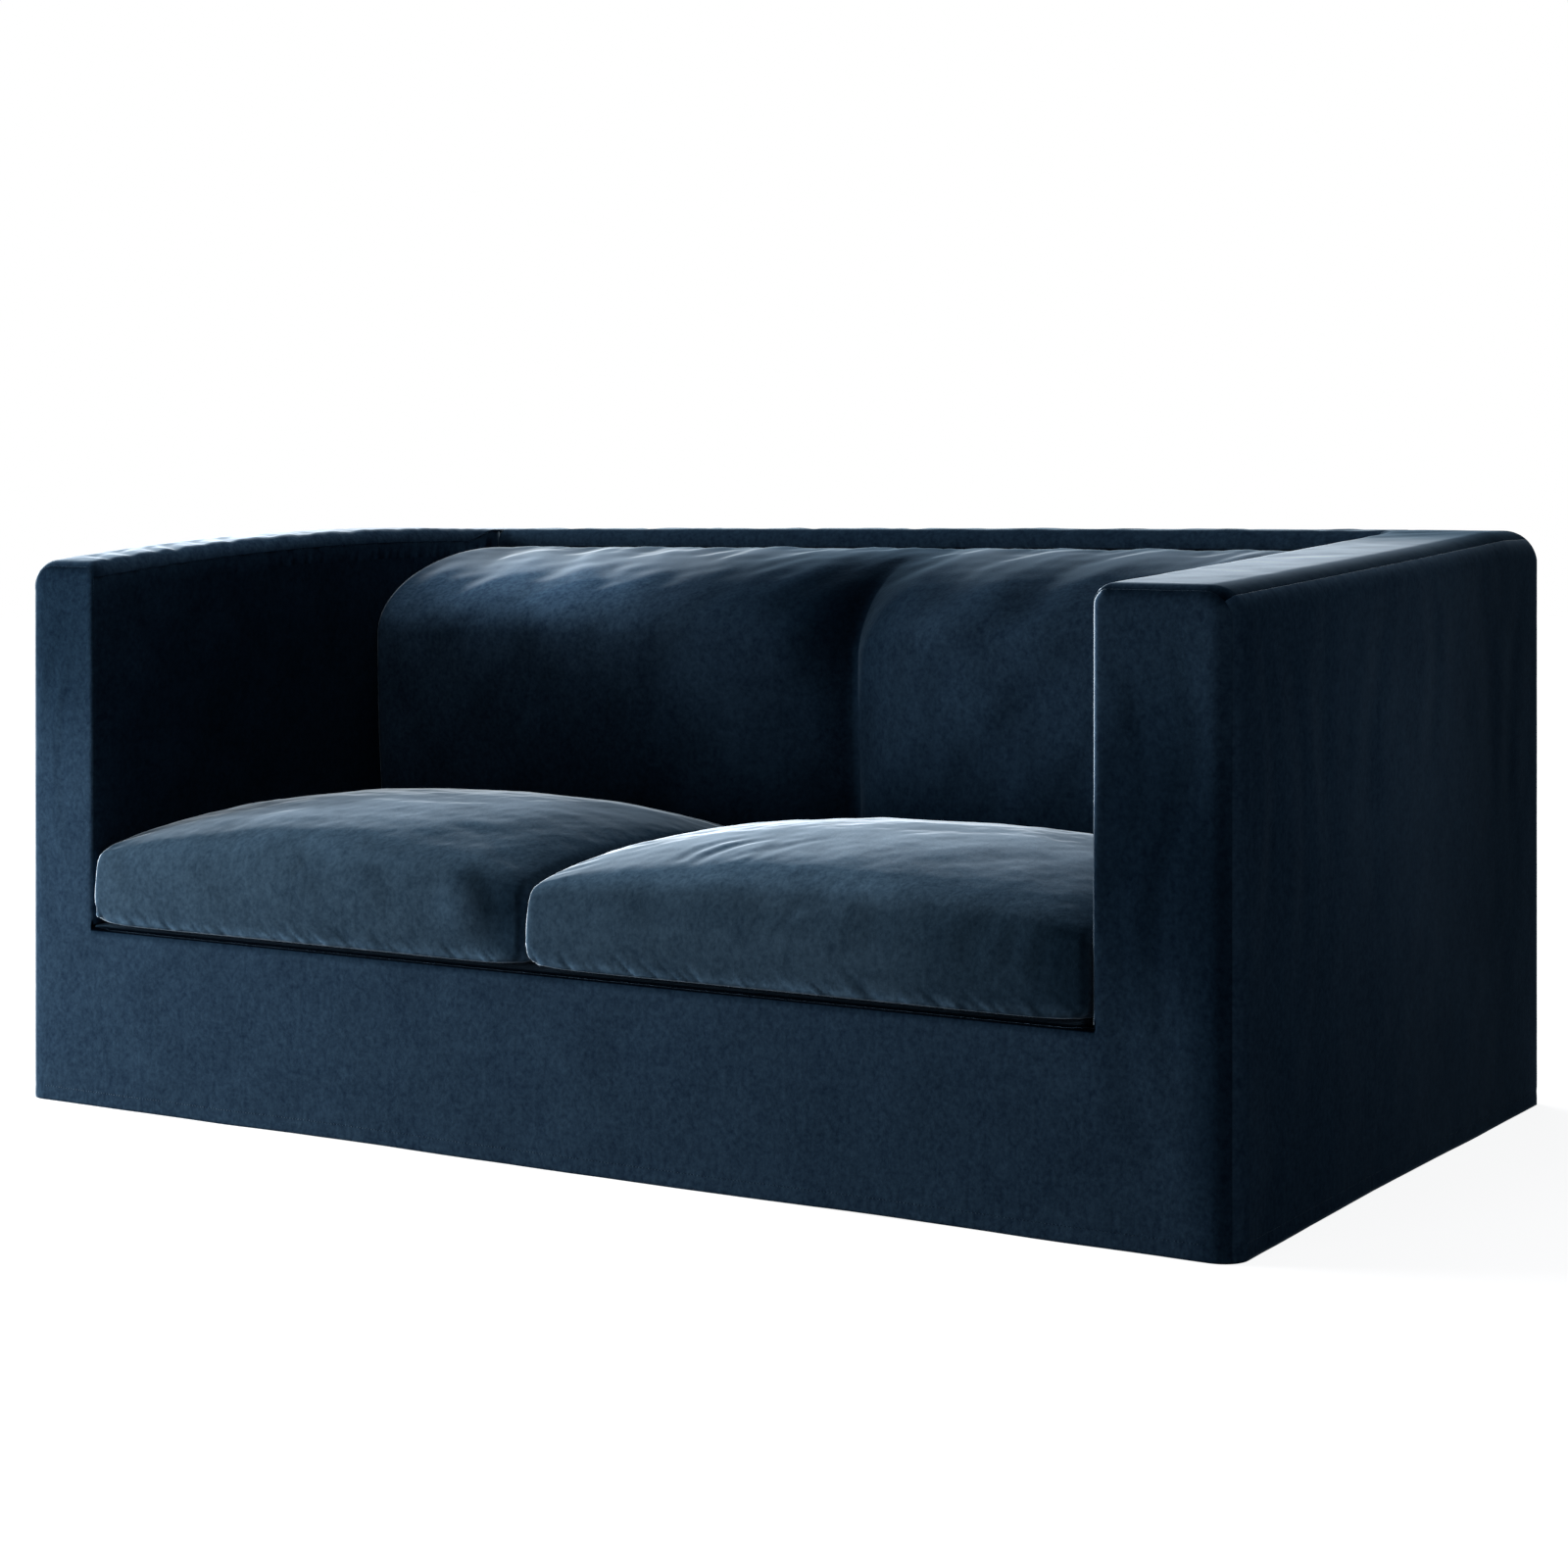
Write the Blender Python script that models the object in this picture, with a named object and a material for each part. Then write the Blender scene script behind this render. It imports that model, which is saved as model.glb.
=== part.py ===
"""Fitted velvet cover of a two-seat sofa with square arms.

Cloth panels follow the outside, the arms, the back and the seat of the sofa, and are open
underneath, where the sofa goes. Two filled cushions lie on the seat. Metres, +Z up, the front
faces -Y, and the origin is on the floor at the centre of the footprint.

Each panel is worked out on a sharp-edged form. Its seams run along the form's edges, and
bend() and round_corner() carry the cloth round them, so that neighbours meet halfway round.
"""

import math

import bpy
from mathutils import Vector

# Overall form
WIDTH = 1.706
DEPTH = 0.990
RAIL_HEIGHT = 0.233
BACK_TOP_DEPTH = 0.116
ARM_THICKNESS = {"left": 0.120, "right": 0.166}
# Height of each arm's top at its front end, its middle and the back
ARM_HEIGHTS = {"left": (0.700, 0.730, 0.729), "right": (0.700, 0.7195, 0.741)}
BACK_MIDDLE_HEIGHT = 0.736

# Cloth
CLOTH = 0.003
GAP = 0.0003
SEAM_INSET = 0.0005
HEM_LIFT = 0.0025
# Radians to the metre and phase of the hem's lift along the width and the depth
HEM_WAVE_X = (8.3, 1.1)
HEM_WAVE_Y = (5.1, 0.4)

# Radii of the rounded edges
OUTER_EDGE = 0.038
CORNER_EDGE = {"front": 0.030, "back": 0.018}
FRONT_TOP_EDGE = 0.020
ARM_INNER_EDGE = 0.020
OPENING_EDGE = 0.008
BAND_EDGE = 0.020
EDGE_STEPS = 3
OPENING_STEPS = 2
SMOOTH_ANGLE = math.radians(50)

# Inside back: a narrow band under the top, then two padded lobes with a valley between them
BAND_DROP = 0.026
PAD_REACH = 0.310
PAD_SHOULDER = 0.115
PAD_TUCK = 0.022
# How far right of the middle the valley is, how sharply the lobes turn down to it, and the
# share of their reach by which they do so there and at the arms
VALLEY_SHIFT = 0.055
LOBE_POWER = 4
VALLEY_DROP = 0.24
LOBE_END_DROP = 0.05

# The arm's round inner edge flattens out over this stretch in front of the band
ROLL_FADE = (0.080, 0.008)

# How far the inside arms and the seat's deck run on behind the padded face
ARM_LAP = 0.004
DECK_LAP = 0.008

# Seat cushions
CUSHION_SPLIT_X = -0.050
CUSHION_SIDE_GAP = 0.0025
CUSHION_FRONT_INSET = 0.006
CUSHION_BACK_GAP = 0.006
CUSHION_SIDE_HEIGHT = 0.096
CUSHION_ROUND = 0.012
CUSHION_FRONT_SWELL = 0.010
CUSHION_SIDE_SWELL = 0.004
CUSHION_DRAW_IN = 0.004
CUSHION_CORNER_LIFT = 0.012
CUSHION_CORNER_POWER = 12
RIDGE_RISE = 0.031
CROWN_RISE = 0.008
CROWN_POWER = 2.3

# Cells of each grid between its rounded edges
SIDE_CELLS = {"along": 12, "up": 7}
FRONT_CELLS = {"left_arm": 2, "opening": 12, "right_arm": 3, "rail": 4, "arm": 6}
BACK_CELLS = {"along": 16, "up": 6}
ARM_CELLS = {"along": 8, "beside_back": 3, "across": 2, "up": 10}
BACK_TOP_CELLS = 20
PAD_CELLS = {"across": 54, "shoulder": 7, "front": 3}
DECK_CELLS = {"across": 8, "deep": 4}
CUSHION_CELLS = (9, 8, 2)

# Soft troughs that hang from the top edge to the hem
# panel, place along the panel, width, depth at the hem, lean over the full height
HANGING_FOLDS = (
    ("side_panel_right", -0.405, 0.050, 0.0050, 0.020),
    ("side_panel_right", -0.300, 0.060, 0.0035, 0.035),
    ("side_panel_right", -0.130, 0.080, 0.0030, -0.020),
    ("side_panel_right", 0.120, 0.090, 0.0035, 0.030),
    ("side_panel_right", 0.330, 0.070, 0.0030, -0.030),
    ("side_panel_left", -0.360, 0.060, 0.0035, 0.020),
    ("side_panel_left", -0.080, 0.080, 0.0030, -0.030),
    ("side_panel_left", 0.240, 0.080, 0.0035, 0.020),
    ("front_panel", -0.560, 0.090, 0.0020, 0.010),
    ("front_panel", -0.150, 0.120, 0.0020, -0.020),
    ("front_panel", 0.310, 0.110, 0.0020, 0.020),
    ("front_panel", 0.742, 0.036, 0.0025, 0.000),
    ("back_panel", -0.520, 0.110, 0.0040, 0.030),
    ("back_panel", -0.050, 0.130, 0.0035, -0.020),
    ("back_panel", 0.440, 0.110, 0.0040, 0.020),
)
# Shares of the height between which a trough fades out
FOLD_FADE = (0.35, 0.92)

# Soft creases that run down the padding from the band
# x at the band, width, depth, and how far x moves on the way to the padding's front
PAD_CREASES = (
    (-0.660, 0.045, 0.006, 0.050),
    (-0.540, 0.035, 0.007, 0.080),
    (-0.430, 0.030, 0.006, 0.090),
    (-0.300, 0.040, 0.007, 0.050),
    (-0.150, 0.035, 0.005, -0.060),
    (0.080, 0.035, 0.006, -0.070),
    (0.200, 0.040, 0.006, -0.060),
    (0.330, 0.035, 0.007, -0.050),
    (0.470, 0.045, 0.006, -0.080),
    (0.600, 0.040, 0.006, -0.050),
)
# Places down the padding (0 band, 1 front, 2 seat) where a crease starts and fades, and the
# distance from the arms over which it is held flat
CREASE_START = 0.15
CREASE_FADE = (0.6, 1.3)
CREASE_CLEAR = 0.030

# Velvet colours, linear RGB
VELVET = (0.014, 0.030, 0.052, 1.0)
CUSHION_VELVET = (0.022, 0.042, 0.066, 1.0)

FRONT = -DEPTH / 2
BACK = DEPTH / 2
BAND_Y = BACK - BACK_TOP_DEPTH
OUTER_X = {"left": -WIDTH / 2, "right": WIDTH / 2}
INNER_X = {side: math.copysign(WIDTH / 2 - ARM_THICKNESS[side], OUTER_X[side]) for side in OUTER_X}
OUTWARD = {"left": -1, "right": 1}


def smoothstep(start, end, value):
    """0 before start, 1 after end, and a smooth rise between them."""
    t = min(max((value - start) / (end - start), 0.0), 1.0)
    return t * t * (3 - 2 * t)


def through_three(values, t):
    """The parabola that takes the three values at t = 0, 1/2 and 1."""
    first, middle, last = values
    return first * (1 - t) * (1 - 2 * t) + 4 * middle * t * (1 - t) + last * t * (2 * t - 1)


def spread(start, end, count):
    """Equal steps from start to end, both included."""
    return [start + (end - start) * i / count for i in range(count + 1)]


def arm_height(side, y):
    return through_three(ARM_HEIGHTS[side], min((y - FRONT) / (BAND_Y - FRONT), 1.0))


def back_height(x):
    """Height of the back's top: the arms' own heights beside them, and a parabola between."""
    ends = ARM_HEIGHTS["left"][2], ARM_HEIGHTS["right"][2]
    t = (x - INNER_X["left"]) / (INNER_X["right"] - INNER_X["left"])
    return through_three((ends[0], BACK_MIDDLE_HEIGHT, ends[1]), min(max(t, 0.0), 1.0))


def hem_height(x, y):
    """The hem touches the floor in places and lifts a little between them."""
    wave_x = math.sin(HEM_WAVE_X[0] * x + HEM_WAVE_X[1])
    wave_y = math.cos(HEM_WAVE_Y[0] * y + HEM_WAVE_Y[1])
    return HEM_LIFT * max(0.0, wave_x * wave_y)


def hanging_fold(panel, along, height, top):
    """Depth of the panel's troughs. They fade towards the top seam."""
    low = 1 - smoothstep(*FOLD_FADE, height / top)
    depth = 0.0
    for name, place, width, hem_depth, lean in HANGING_FOLDS:
        if name == panel:
            offset = (along - place - lean * height / top) / width
            depth += hem_depth * low * math.exp(-offset * offset)
    return depth


def bend(from_edge, radius, depth):
    """Carry a face round one of its edges.

    from_edge is the distance from the sharp edge, on the face. The result is the rounded
    distance from the neighbouring face, and the distance below this one.
    """
    if from_edge >= radius:
        return from_edge, depth
    turn = math.atan2(radius - from_edge, radius)
    return radius - (radius - depth) * math.sin(turn), radius - (radius - depth) * math.cos(turn)


def inside_corner(a, b, radius):
    """Distance inside an outline whose two edges lie a and b away and meet in a round corner."""
    return min(a, b) if a >= radius or b >= radius else radius - max(radius - a, radius - b)


def round_corner(a, b, radius, inset):
    """The place of that point, at the given distance inside the rounded outline."""
    if a < radius and b < radius:
        reach = math.hypot(radius - a, radius - b)
        return (
            radius - (radius - inset) * (radius - a) / reach,
            radius - (radius - inset) * (radius - b) / reach,
        )
    return (inset, b) if a <= b else (a, inset)


def corner_blend(a, b, radius, value_a, value_b):
    """value_a on the first edge, value_b on the second, and a mix round the corner."""
    if a < radius and b < radius:
        share = (radius - b) / (2 * radius - a - b)
        return value_a + (value_b - value_a) * share
    return value_a if a <= b else value_b


def edge_stations(radius, steps=EDGE_STEPS):
    """Distances from a sharp edge that give equal turns round it, from the seam inwards."""
    turns = [math.radians(45) * (1 - i / steps) for i in range(steps + 1)]
    distances = [radius * (1 - math.tan(turn)) for turn in turns]
    return [SEAM_INSET] + distances[1:]


# Distances from the front and the back at which the panels round a corner are cut
FRONT_STATIONS = edge_stations(FRONT_TOP_EDGE) + [CORNER_EDGE["front"], OUTER_EDGE]
BACK_STATIONS = edge_stations(CORNER_EDGE["back"])
BACK_STATIONS += [(CORNER_EDGE["back"] + OUTER_EDGE) / 2, OUTER_EDGE]
OPENING_STATIONS = edge_stations(OPENING_EDGE, OPENING_STEPS)
ARM_EDGE_STATIONS = OPENING_STATIONS + spread(OPENING_EDGE, ARM_INNER_EDGE, 2)[1:]

# Places along an arm, from behind its front edge to the band
ROLL_START, ROLL_END = (BAND_Y - distance for distance in ROLL_FADE)
ARM_STATIONS = spread(FRONT + OUTER_EDGE, ROLL_START, ARM_CELLS["along"])
ARM_STATIONS += spread(ROLL_START, ROLL_END, ARM_CELLS["beside_back"])[1:] + [BAND_Y]


def velvet(name, colour):
    material = bpy.data.materials.new(name)
    material.use_nodes = True
    shader = material.node_tree.nodes["Principled BSDF"]
    shader.inputs["Base Color"].default_value = colour
    shader.inputs["Roughness"].default_value = 0.85
    shader.inputs["Metallic"].default_value = 0.0
    shader.inputs["Sheen Weight"].default_value = 0.6
    material.diffuse_color = colour
    return material


def add_object(name, points, faces, colour):
    mesh = bpy.data.meshes.new(name)
    mesh.from_pydata(points, [], faces)
    mesh.update()
    mesh.materials.append(velvet(name + "_velvet", colour))
    mesh.shade_smooth()
    mesh.set_sharp_from_angle(angle=SMOOTH_ANGLE)
    obj = bpy.data.objects.new(name, mesh)
    bpy.context.scene.collection.objects.link(obj)
    return obj


def cloth(name, surface, columns, rows, wanted=lambda i, j: True, flip=False):
    """A sheet of cloth on a grid of stations.

    surface(column, row, depth) gives a point at that depth under the face. wanted says which
    cells are cloth. The edges that only one cell has are closed with the cloth's thickness.
    """
    cells = [
        (i, j)
        for i in range(len(columns) - 1)
        for j in range(len(rows) - 1)
        if wanted(i, j)
    ]
    corners = [((i, j), (i + 1, j), (i + 1, j + 1), (i, j + 1)) for i, j in cells]
    used = sorted({key for cell in corners for key in cell})
    number = {key: n for n, key in enumerate(used)}
    under = len(used)
    points = [surface(columns[i], rows[j], 0.0) for i, j in used]
    points += [surface(columns[i], rows[j], CLOTH) for i, j in used]
    faces = []
    edges = {}
    for cell in corners:
        top = [number[key] for key in cell]
        faces.append(top)
        faces.append([n + under for n in reversed(top)])
        for start, end in zip(top, top[1:] + top[:1]):
            if not edges.pop((end, start), None):
                edges[(start, end)] = True
    for start, end in edges:
        faces.append([end, start, start + under, end + under])
    if flip:
        faces = [face[::-1] for face in faces]
    return add_object(name, points, faces, VELVET)


def outline_point(side, a, b, inset):
    """(x, z offset from the top) of a point by an arm's outer top corner."""
    across, down = round_corner(a, b, OUTER_EDGE, inset)
    return OUTER_X[side] - OUTWARD[side] * across, -down


def height_below(row, top, hem):
    """Distance under the top of a row: a share of the height up, or a distance from the edge."""
    kind, value = row
    return value if kind == "below" else top - hem - (top - OUTER_EDGE - hem) * value


def side_panel(side):
    """Outside of an arm, from the hem to the middle of the top edge."""
    name = "side_panel_" + side
    x = OUTER_X[side]
    columns = [FRONT + d for d in FRONT_STATIONS]
    columns += spread(FRONT + OUTER_EDGE, BACK - OUTER_EDGE, SIDE_CELLS["along"])[1:-1]
    columns += [BACK - d for d in reversed(BACK_STATIONS)]
    rows = [("up", t) for t in spread(0.0, 1.0, SIDE_CELLS["up"])]
    rows += [("below", d) for d in reversed(edge_stations(OUTER_EDGE)[:-1])]

    def surface(y, row, depth):
        top = arm_height(side, y)
        below = height_below(row, top, hem_height(x, y))
        in_front = y < (FRONT + BACK) / 2
        end, end_top = ("front", FRONT_TOP_EDGE) if in_front else ("back", OUTER_EDGE)
        from_end = y - FRONT if in_front else BACK - y
        depth += smoothstep(0.0, OUTER_EDGE, from_end) * hanging_fold(name, y, top - below, top)
        radius = corner_blend(0.0, below, OUTER_EDGE, CORNER_EDGE[end], end_top)
        along, inset = bend(from_end, radius, depth)
        px, dz = outline_point(side, 0.0, below, inset)
        return Vector((px, FRONT + along if in_front else BACK - along, top + dz))

    return cloth(name, surface, columns, rows, flip=side == "left")


def front_columns():
    """x of each column of the front panel, left to right, and the two columns at the opening."""
    left = [OUTER_X["left"] + d for d in FRONT_STATIONS]
    left += spread(left[-1], INNER_X["left"] - ARM_INNER_EDGE, FRONT_CELLS["left_arm"])[1:-1]
    left += [INNER_X["left"] - d for d in reversed(ARM_EDGE_STATIONS)]
    right = [INNER_X["right"] + d for d in ARM_EDGE_STATIONS]
    right += spread(right[-1], OUTER_X["right"] - OUTER_EDGE, FRONT_CELLS["right_arm"])[1:-1]
    right += [OUTER_X["right"] - d for d in reversed(FRONT_STATIONS)]
    middle = spread(left[-1], right[0], FRONT_CELLS["opening"])[1:-1]
    return left + middle + right, len(left) - 1, len(left) + len(middle)


def front_panel():
    """Front of both arms and of the rail, one U-shaped cut."""
    name = "front_panel"
    columns, first_open, last_open = front_columns()
    rows = [("rail", t) for t in spread(0.0, 1.0, FRONT_CELLS["rail"])]
    rows += [("below_rail", d) for d in reversed(OPENING_STATIONS[:-1])]
    rail_rows = len(rows)
    rows += [("arm", t) for t in spread(0.0, 1.0, FRONT_CELLS["arm"])[1:]]
    rows += [("below", d) for d in reversed(FRONT_STATIONS[:-1])]

    def surface(x, row, depth):
        side = "left" if x < 0 else "right"
        kind, value = row
        top = arm_height(side, FRONT)
        hem = hem_height(x, FRONT)
        z = {
            "rail": hem + (RAIL_HEIGHT - OPENING_EDGE - hem) * value,
            "below_rail": RAIL_HEIGHT - value,
            "arm": RAIL_HEIGHT + (top - OUTER_EDGE - RAIL_HEIGHT) * value,
            "below": top - value,
        }[kind]
        outer = abs(OUTER_X[side] - x)
        inner = OUTWARD[side] * (x - INNER_X[side])
        depth += smoothstep(0.0, OUTER_EDGE, outer) * hanging_fold(name, x, z, top)
        if inner > outer:
            inside = inside_corner(outer, top - z, OUTER_EDGE)
            radii = CORNER_EDGE["front"], FRONT_TOP_EDGE
            radius = corner_blend(outer, top - z, OUTER_EDGE, *radii)
            inset, down = bend(inside, radius, depth)
            px, dz = outline_point(side, outer, top - z, inset)
            near_edge = inside < radius
            return Vector((px if near_edge else x, FRONT + down, top + dz if near_edge else z))
        if inner > 0 and z > RAIL_HEIGHT - OPENING_EDGE / 2:
            inside = inside_corner(inner, top - z, ARM_INNER_EDGE)
            radius = corner_blend(inner, top - z, ARM_INNER_EDGE, OPENING_EDGE, FRONT_TOP_EDGE)
            inset, down = bend(inside, radius, depth)
            if inside >= radius:
                return Vector((x, FRONT + down, z))
            dx, dz = round_corner(inner, top - z, ARM_INNER_EDGE, inset)
            level = top - dz
            if z < RAIL_HEIGHT:
                level = RAIL_HEIGHT - bend(RAIL_HEIGHT - z, OPENING_EDGE, depth)[0]
            return Vector((INNER_X[side] + OUTWARD[side] * dx, FRONT + down, level))
        if inner <= 0 and z > RAIL_HEIGHT - OPENING_EDGE:
            below, down = bend(RAIL_HEIGHT - z, OPENING_EDGE, depth)
            return Vector((x, FRONT + down, RAIL_HEIGHT - below))
        return Vector((x, FRONT + depth, z))

    def wanted(i, j):
        return j < rail_rows - 1 or i < first_open or i >= last_open

    return cloth(name, surface, columns, rows, wanted)


def back_panel():
    """Outside back, from the hem to the middle of the top edge."""
    name = "back_panel"
    columns = [OUTER_X["left"] + d for d in BACK_STATIONS]
    ends = [OUTER_X["left"] + OUTER_EDGE, OUTER_X["right"] - OUTER_EDGE]
    columns += spread(*ends, BACK_CELLS["along"])[1:-1]
    columns += [OUTER_X["right"] - d for d in reversed(BACK_STATIONS)]
    rows = [("up", t) for t in spread(0.0, 1.0, BACK_CELLS["up"])]
    rows += [("below", d) for d in reversed(BACK_STATIONS[:-1])]

    def surface(x, row, depth):
        side = "left" if x < 0 else "right"
        top = back_height(x)
        below = height_below(row, top, hem_height(x, BACK))
        outer = abs(OUTER_X[side] - x)
        depth += smoothstep(0.0, OUTER_EDGE, outer) * hanging_fold(name, x, top - below, top)
        inside = inside_corner(outer, below, OUTER_EDGE)
        radius = corner_blend(outer, below, OUTER_EDGE, CORNER_EDGE["back"], OUTER_EDGE)
        inset, inward = bend(inside, radius, depth)
        if inside >= radius:
            return Vector((x, BACK - inward, top - below))
        px, dz = outline_point(side, outer, below, inset)
        return Vector((px, BACK - inward, top + dz))

    return cloth(name, surface, columns, rows, flip=True)


def arm_roll(y):
    """1 where the arm's inner edge is round, 0 beside the back, where the tops are level."""
    return 1 - smoothstep(ROLL_START, ROLL_END, y)


def arm_seam(side, y):
    """Height at which the inside of an arm meets its top."""
    roll = arm_roll(y)
    return arm_height(side, y) - ARM_INNER_EDGE * roll - CLOTH * (1 - roll) - GAP


def arm_top(side):
    """Top of an arm: half of the outer edge, the flat, and the whole inner edge."""
    name = "arm_top_" + side
    flat = ARM_THICKNESS[side] - ARM_INNER_EDGE
    inner_steps = [0.0] + edge_stations(ARM_INNER_EDGE)[1:]
    columns = [("outer", d) for d in edge_stations(OUTER_EDGE)]
    columns += [("outer", d) for d in spread(OUTER_EDGE, flat, ARM_CELLS["across"])[1:-1]]
    columns += [("inner", d) for d in reversed(inner_steps)]
    columns += [("down", d) for d in inner_steps[1:-1] + [ARM_INNER_EDGE - SEAM_INSET]]
    rows = [FRONT + d for d in FRONT_STATIONS[:-1]] + ARM_STATIONS
    rows += [BACK - d for d in reversed(BACK_STATIONS)]

    def surface(column, y, depth):
        kind, value = column
        top = arm_height(side, y)
        in_front = y < (FRONT + BACK) / 2
        end, end_top = ("front", FRONT_TOP_EDGE) if in_front else ("back", OUTER_EDGE)
        from_end = y - FRONT if in_front else BACK - y
        if kind == "outer":
            radius = corner_blend(value, 0.0, OUTER_EDGE, CORNER_EDGE[end], end_top)
            along, inset = bend(from_end, radius, depth)
            px, dz = outline_point(side, value, 0.0, inset)
        else:
            a, b = (value, 0.0) if kind == "inner" else (0.0, value)
            radius = end_top
            if in_front:
                radius = corner_blend(a, b, ARM_INNER_EDGE, OPENING_EDGE, FRONT_TOP_EDGE)
            along, inset = bend(from_end, radius, depth)
            roll = arm_roll(y)
            rolled = round_corner(a, b, ARM_INNER_EDGE, inset) if roll else (0.0, 0.0)
            level = (ARM_INNER_EDGE + a - b) / 2 * (1 - GAP / ARM_INNER_EDGE) + GAP / 2
            px = INNER_X[side] + OUTWARD[side] * (roll * rolled[0] + (1 - roll) * level)
            dz = -(roll * rolled[1] + (1 - roll) * inset)
        return Vector((px, FRONT + along if in_front else BACK - along, top + dz))

    return cloth(name, surface, columns, rows, flip=side == "right")


def back_top():
    """Top of the back with the narrow band that turns down in front of it."""
    inner_steps = [0.0] + edge_stations(BAND_EDGE)[1:]
    rows = [("back", d) for d in BACK_STATIONS]
    rows += [("flat", d) for d in reversed(inner_steps)]
    rows += [("down", d) for d in inner_steps[1:] + [BAND_DROP - GAP]]
    columns = spread(INNER_X["left"] + GAP / 2, INNER_X["right"] - GAP / 2, BACK_TOP_CELLS)

    def surface(x, row, depth):
        kind, value = row
        top = back_height(x)
        if kind == "back":
            along, inset = bend(value, OUTER_EDGE, depth)
            return Vector((x, BACK - along, top - inset))
        a, b = (value, 0.0) if kind == "flat" else (0.0, value)
        along, down = round_corner(a, b, BAND_EDGE, depth)
        return Vector((x, BAND_Y + along, top - down))

    return cloth("back_top", surface, columns, rows, flip=True)


def pad_size(x):
    """How far the padding stands in front of the band at x, and the height of its shoulder."""
    valley = (INNER_X["left"] + INNER_X["right"]) / 2 + VALLEY_SHIFT
    arm = INNER_X["left"] if x < valley else INNER_X["right"]
    from_centre = 2 * (x - (arm + valley) / 2) / (valley - arm)
    end = abs(from_centre) ** LOBE_POWER
    drop = VALLEY_DROP if from_centre > 0 else LOBE_END_DROP
    return PAD_REACH * (1 - drop * end), PAD_SHOULDER * (1 + drop * end)


def pad_crease(x, t):
    """Depth of the creases. They start at the band and fade out on the padding's front."""
    depth = 0.0
    for place, width, crease, run in PAD_CREASES:
        offset = (x - place - run * t) / width
        depth += crease * math.exp(-offset * offset)
    from_arm = min(x - INNER_X["left"], INNER_X["right"] - x)
    depth *= smoothstep(0.0, CREASE_CLEAR, from_arm)
    return depth * smoothstep(0.0, CREASE_START, t) * (1 - smoothstep(*CREASE_FADE, t))


def pad_point(x, t):
    """The padded face at x: t from 0 at the band to 1 in front, then to 2 at the seat."""
    reach, shoulder = pad_size(x)
    band = back_height(x) - BAND_DROP
    if t <= 1:
        turn = math.radians(90) * t
        y = BAND_Y - GAP - reach * math.sin(turn)
        return Vector((x, y, band - shoulder * (1 - math.cos(turn))))
    down = t - 1
    foot = RAIL_HEIGHT + GAP
    y = BAND_Y - GAP - reach + PAD_TUCK * down * down
    return Vector((x, y, band - shoulder + (foot - band + shoulder) * down))


def inside_back():
    """Padded inside back, from the band to the seat."""
    columns = spread(INNER_X["left"] + GAP, INNER_X["right"] - GAP, PAD_CELLS["across"])
    rows = spread(0.0, 1.0, PAD_CELLS["shoulder"]) + spread(1.0, 2.0, PAD_CELLS["front"])[1:]
    step = 1e-4

    def surface(x, t, depth):
        across = pad_point(x + step, t) - pad_point(x - step, t)
        down = pad_point(x, min(t + step, 2.0)) - pad_point(x, max(t - step, 0.0))
        behind = across.cross(down)
        behind.x = 0.0
        return pad_point(x, t) + behind.normalized() * (depth + pad_crease(x, t))

    return cloth("inside_back", surface, columns, rows, flip=True)


def inside_arm(side):
    """Inside of an arm, from the seat to the arm top, and back to the padded face."""
    x = INNER_X[side]
    start = FRONT + OPENING_EDGE
    full = BAND_Y + ARM_LAP - start
    columns = [("front", d) for d in OPENING_STATIONS]
    columns += [("share", (y - start) / full) for y in ARM_STATIONS[:-1] + [BAND_Y + ARM_LAP]]
    rows = [("pad", 2.0 - t) for t in spread(0.0, 2.0, ARM_CELLS["up"])] + [("top", 0.0)]
    foot = RAIL_HEIGHT + GAP

    def surface(column, row, depth):
        kind, value = column
        pad = pad_point(x, row[1])
        along = value if kind == "front" else OPENING_EDGE + (pad.y + ARM_LAP - start) * value
        from_front, inset = bend(along, OPENING_EDGE, depth)
        y = FRONT + from_front
        level = 1.0 if row[0] == "top" else (pad.z - foot) / (arm_seam(side, BAND_Y) - foot)
        z = foot + level * (arm_seam(side, y) - foot)
        return Vector((x + OUTWARD[side] * inset, y, z))

    return cloth("inside_arm_" + side, surface, columns, rows, flip=side == "right")


def seat_deck():
    """Cloth under the cushions, from the rail's edge to just behind the padded face."""
    columns = spread(INNER_X["left"] + GAP, INNER_X["right"] - GAP, DECK_CELLS["across"])
    rear = BAND_Y - PAD_REACH * (1 - VALLEY_DROP) + PAD_TUCK + DECK_LAP
    rows = OPENING_STATIONS + spread(OPENING_EDGE, rear - FRONT, DECK_CELLS["deep"])[1:]

    def surface(x, from_front, depth):
        along, down = bend(from_front, OPENING_EDGE, depth)
        return Vector((x, FRONT + along, RAIL_HEIGHT - down))

    return cloth("seat_deck", surface, columns, rows)


def lattice_lines(half, radius, count):
    """Stations from -half to half, close together inside the rounded ends."""
    ends = [0.0] + edge_stations(radius, OPENING_STEPS)[1:]
    lines = [-half + d for d in ends] + spread(-half + radius, half - radius, count)[1:-1]
    return lines + [half - d for d in reversed(ends)]


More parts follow.
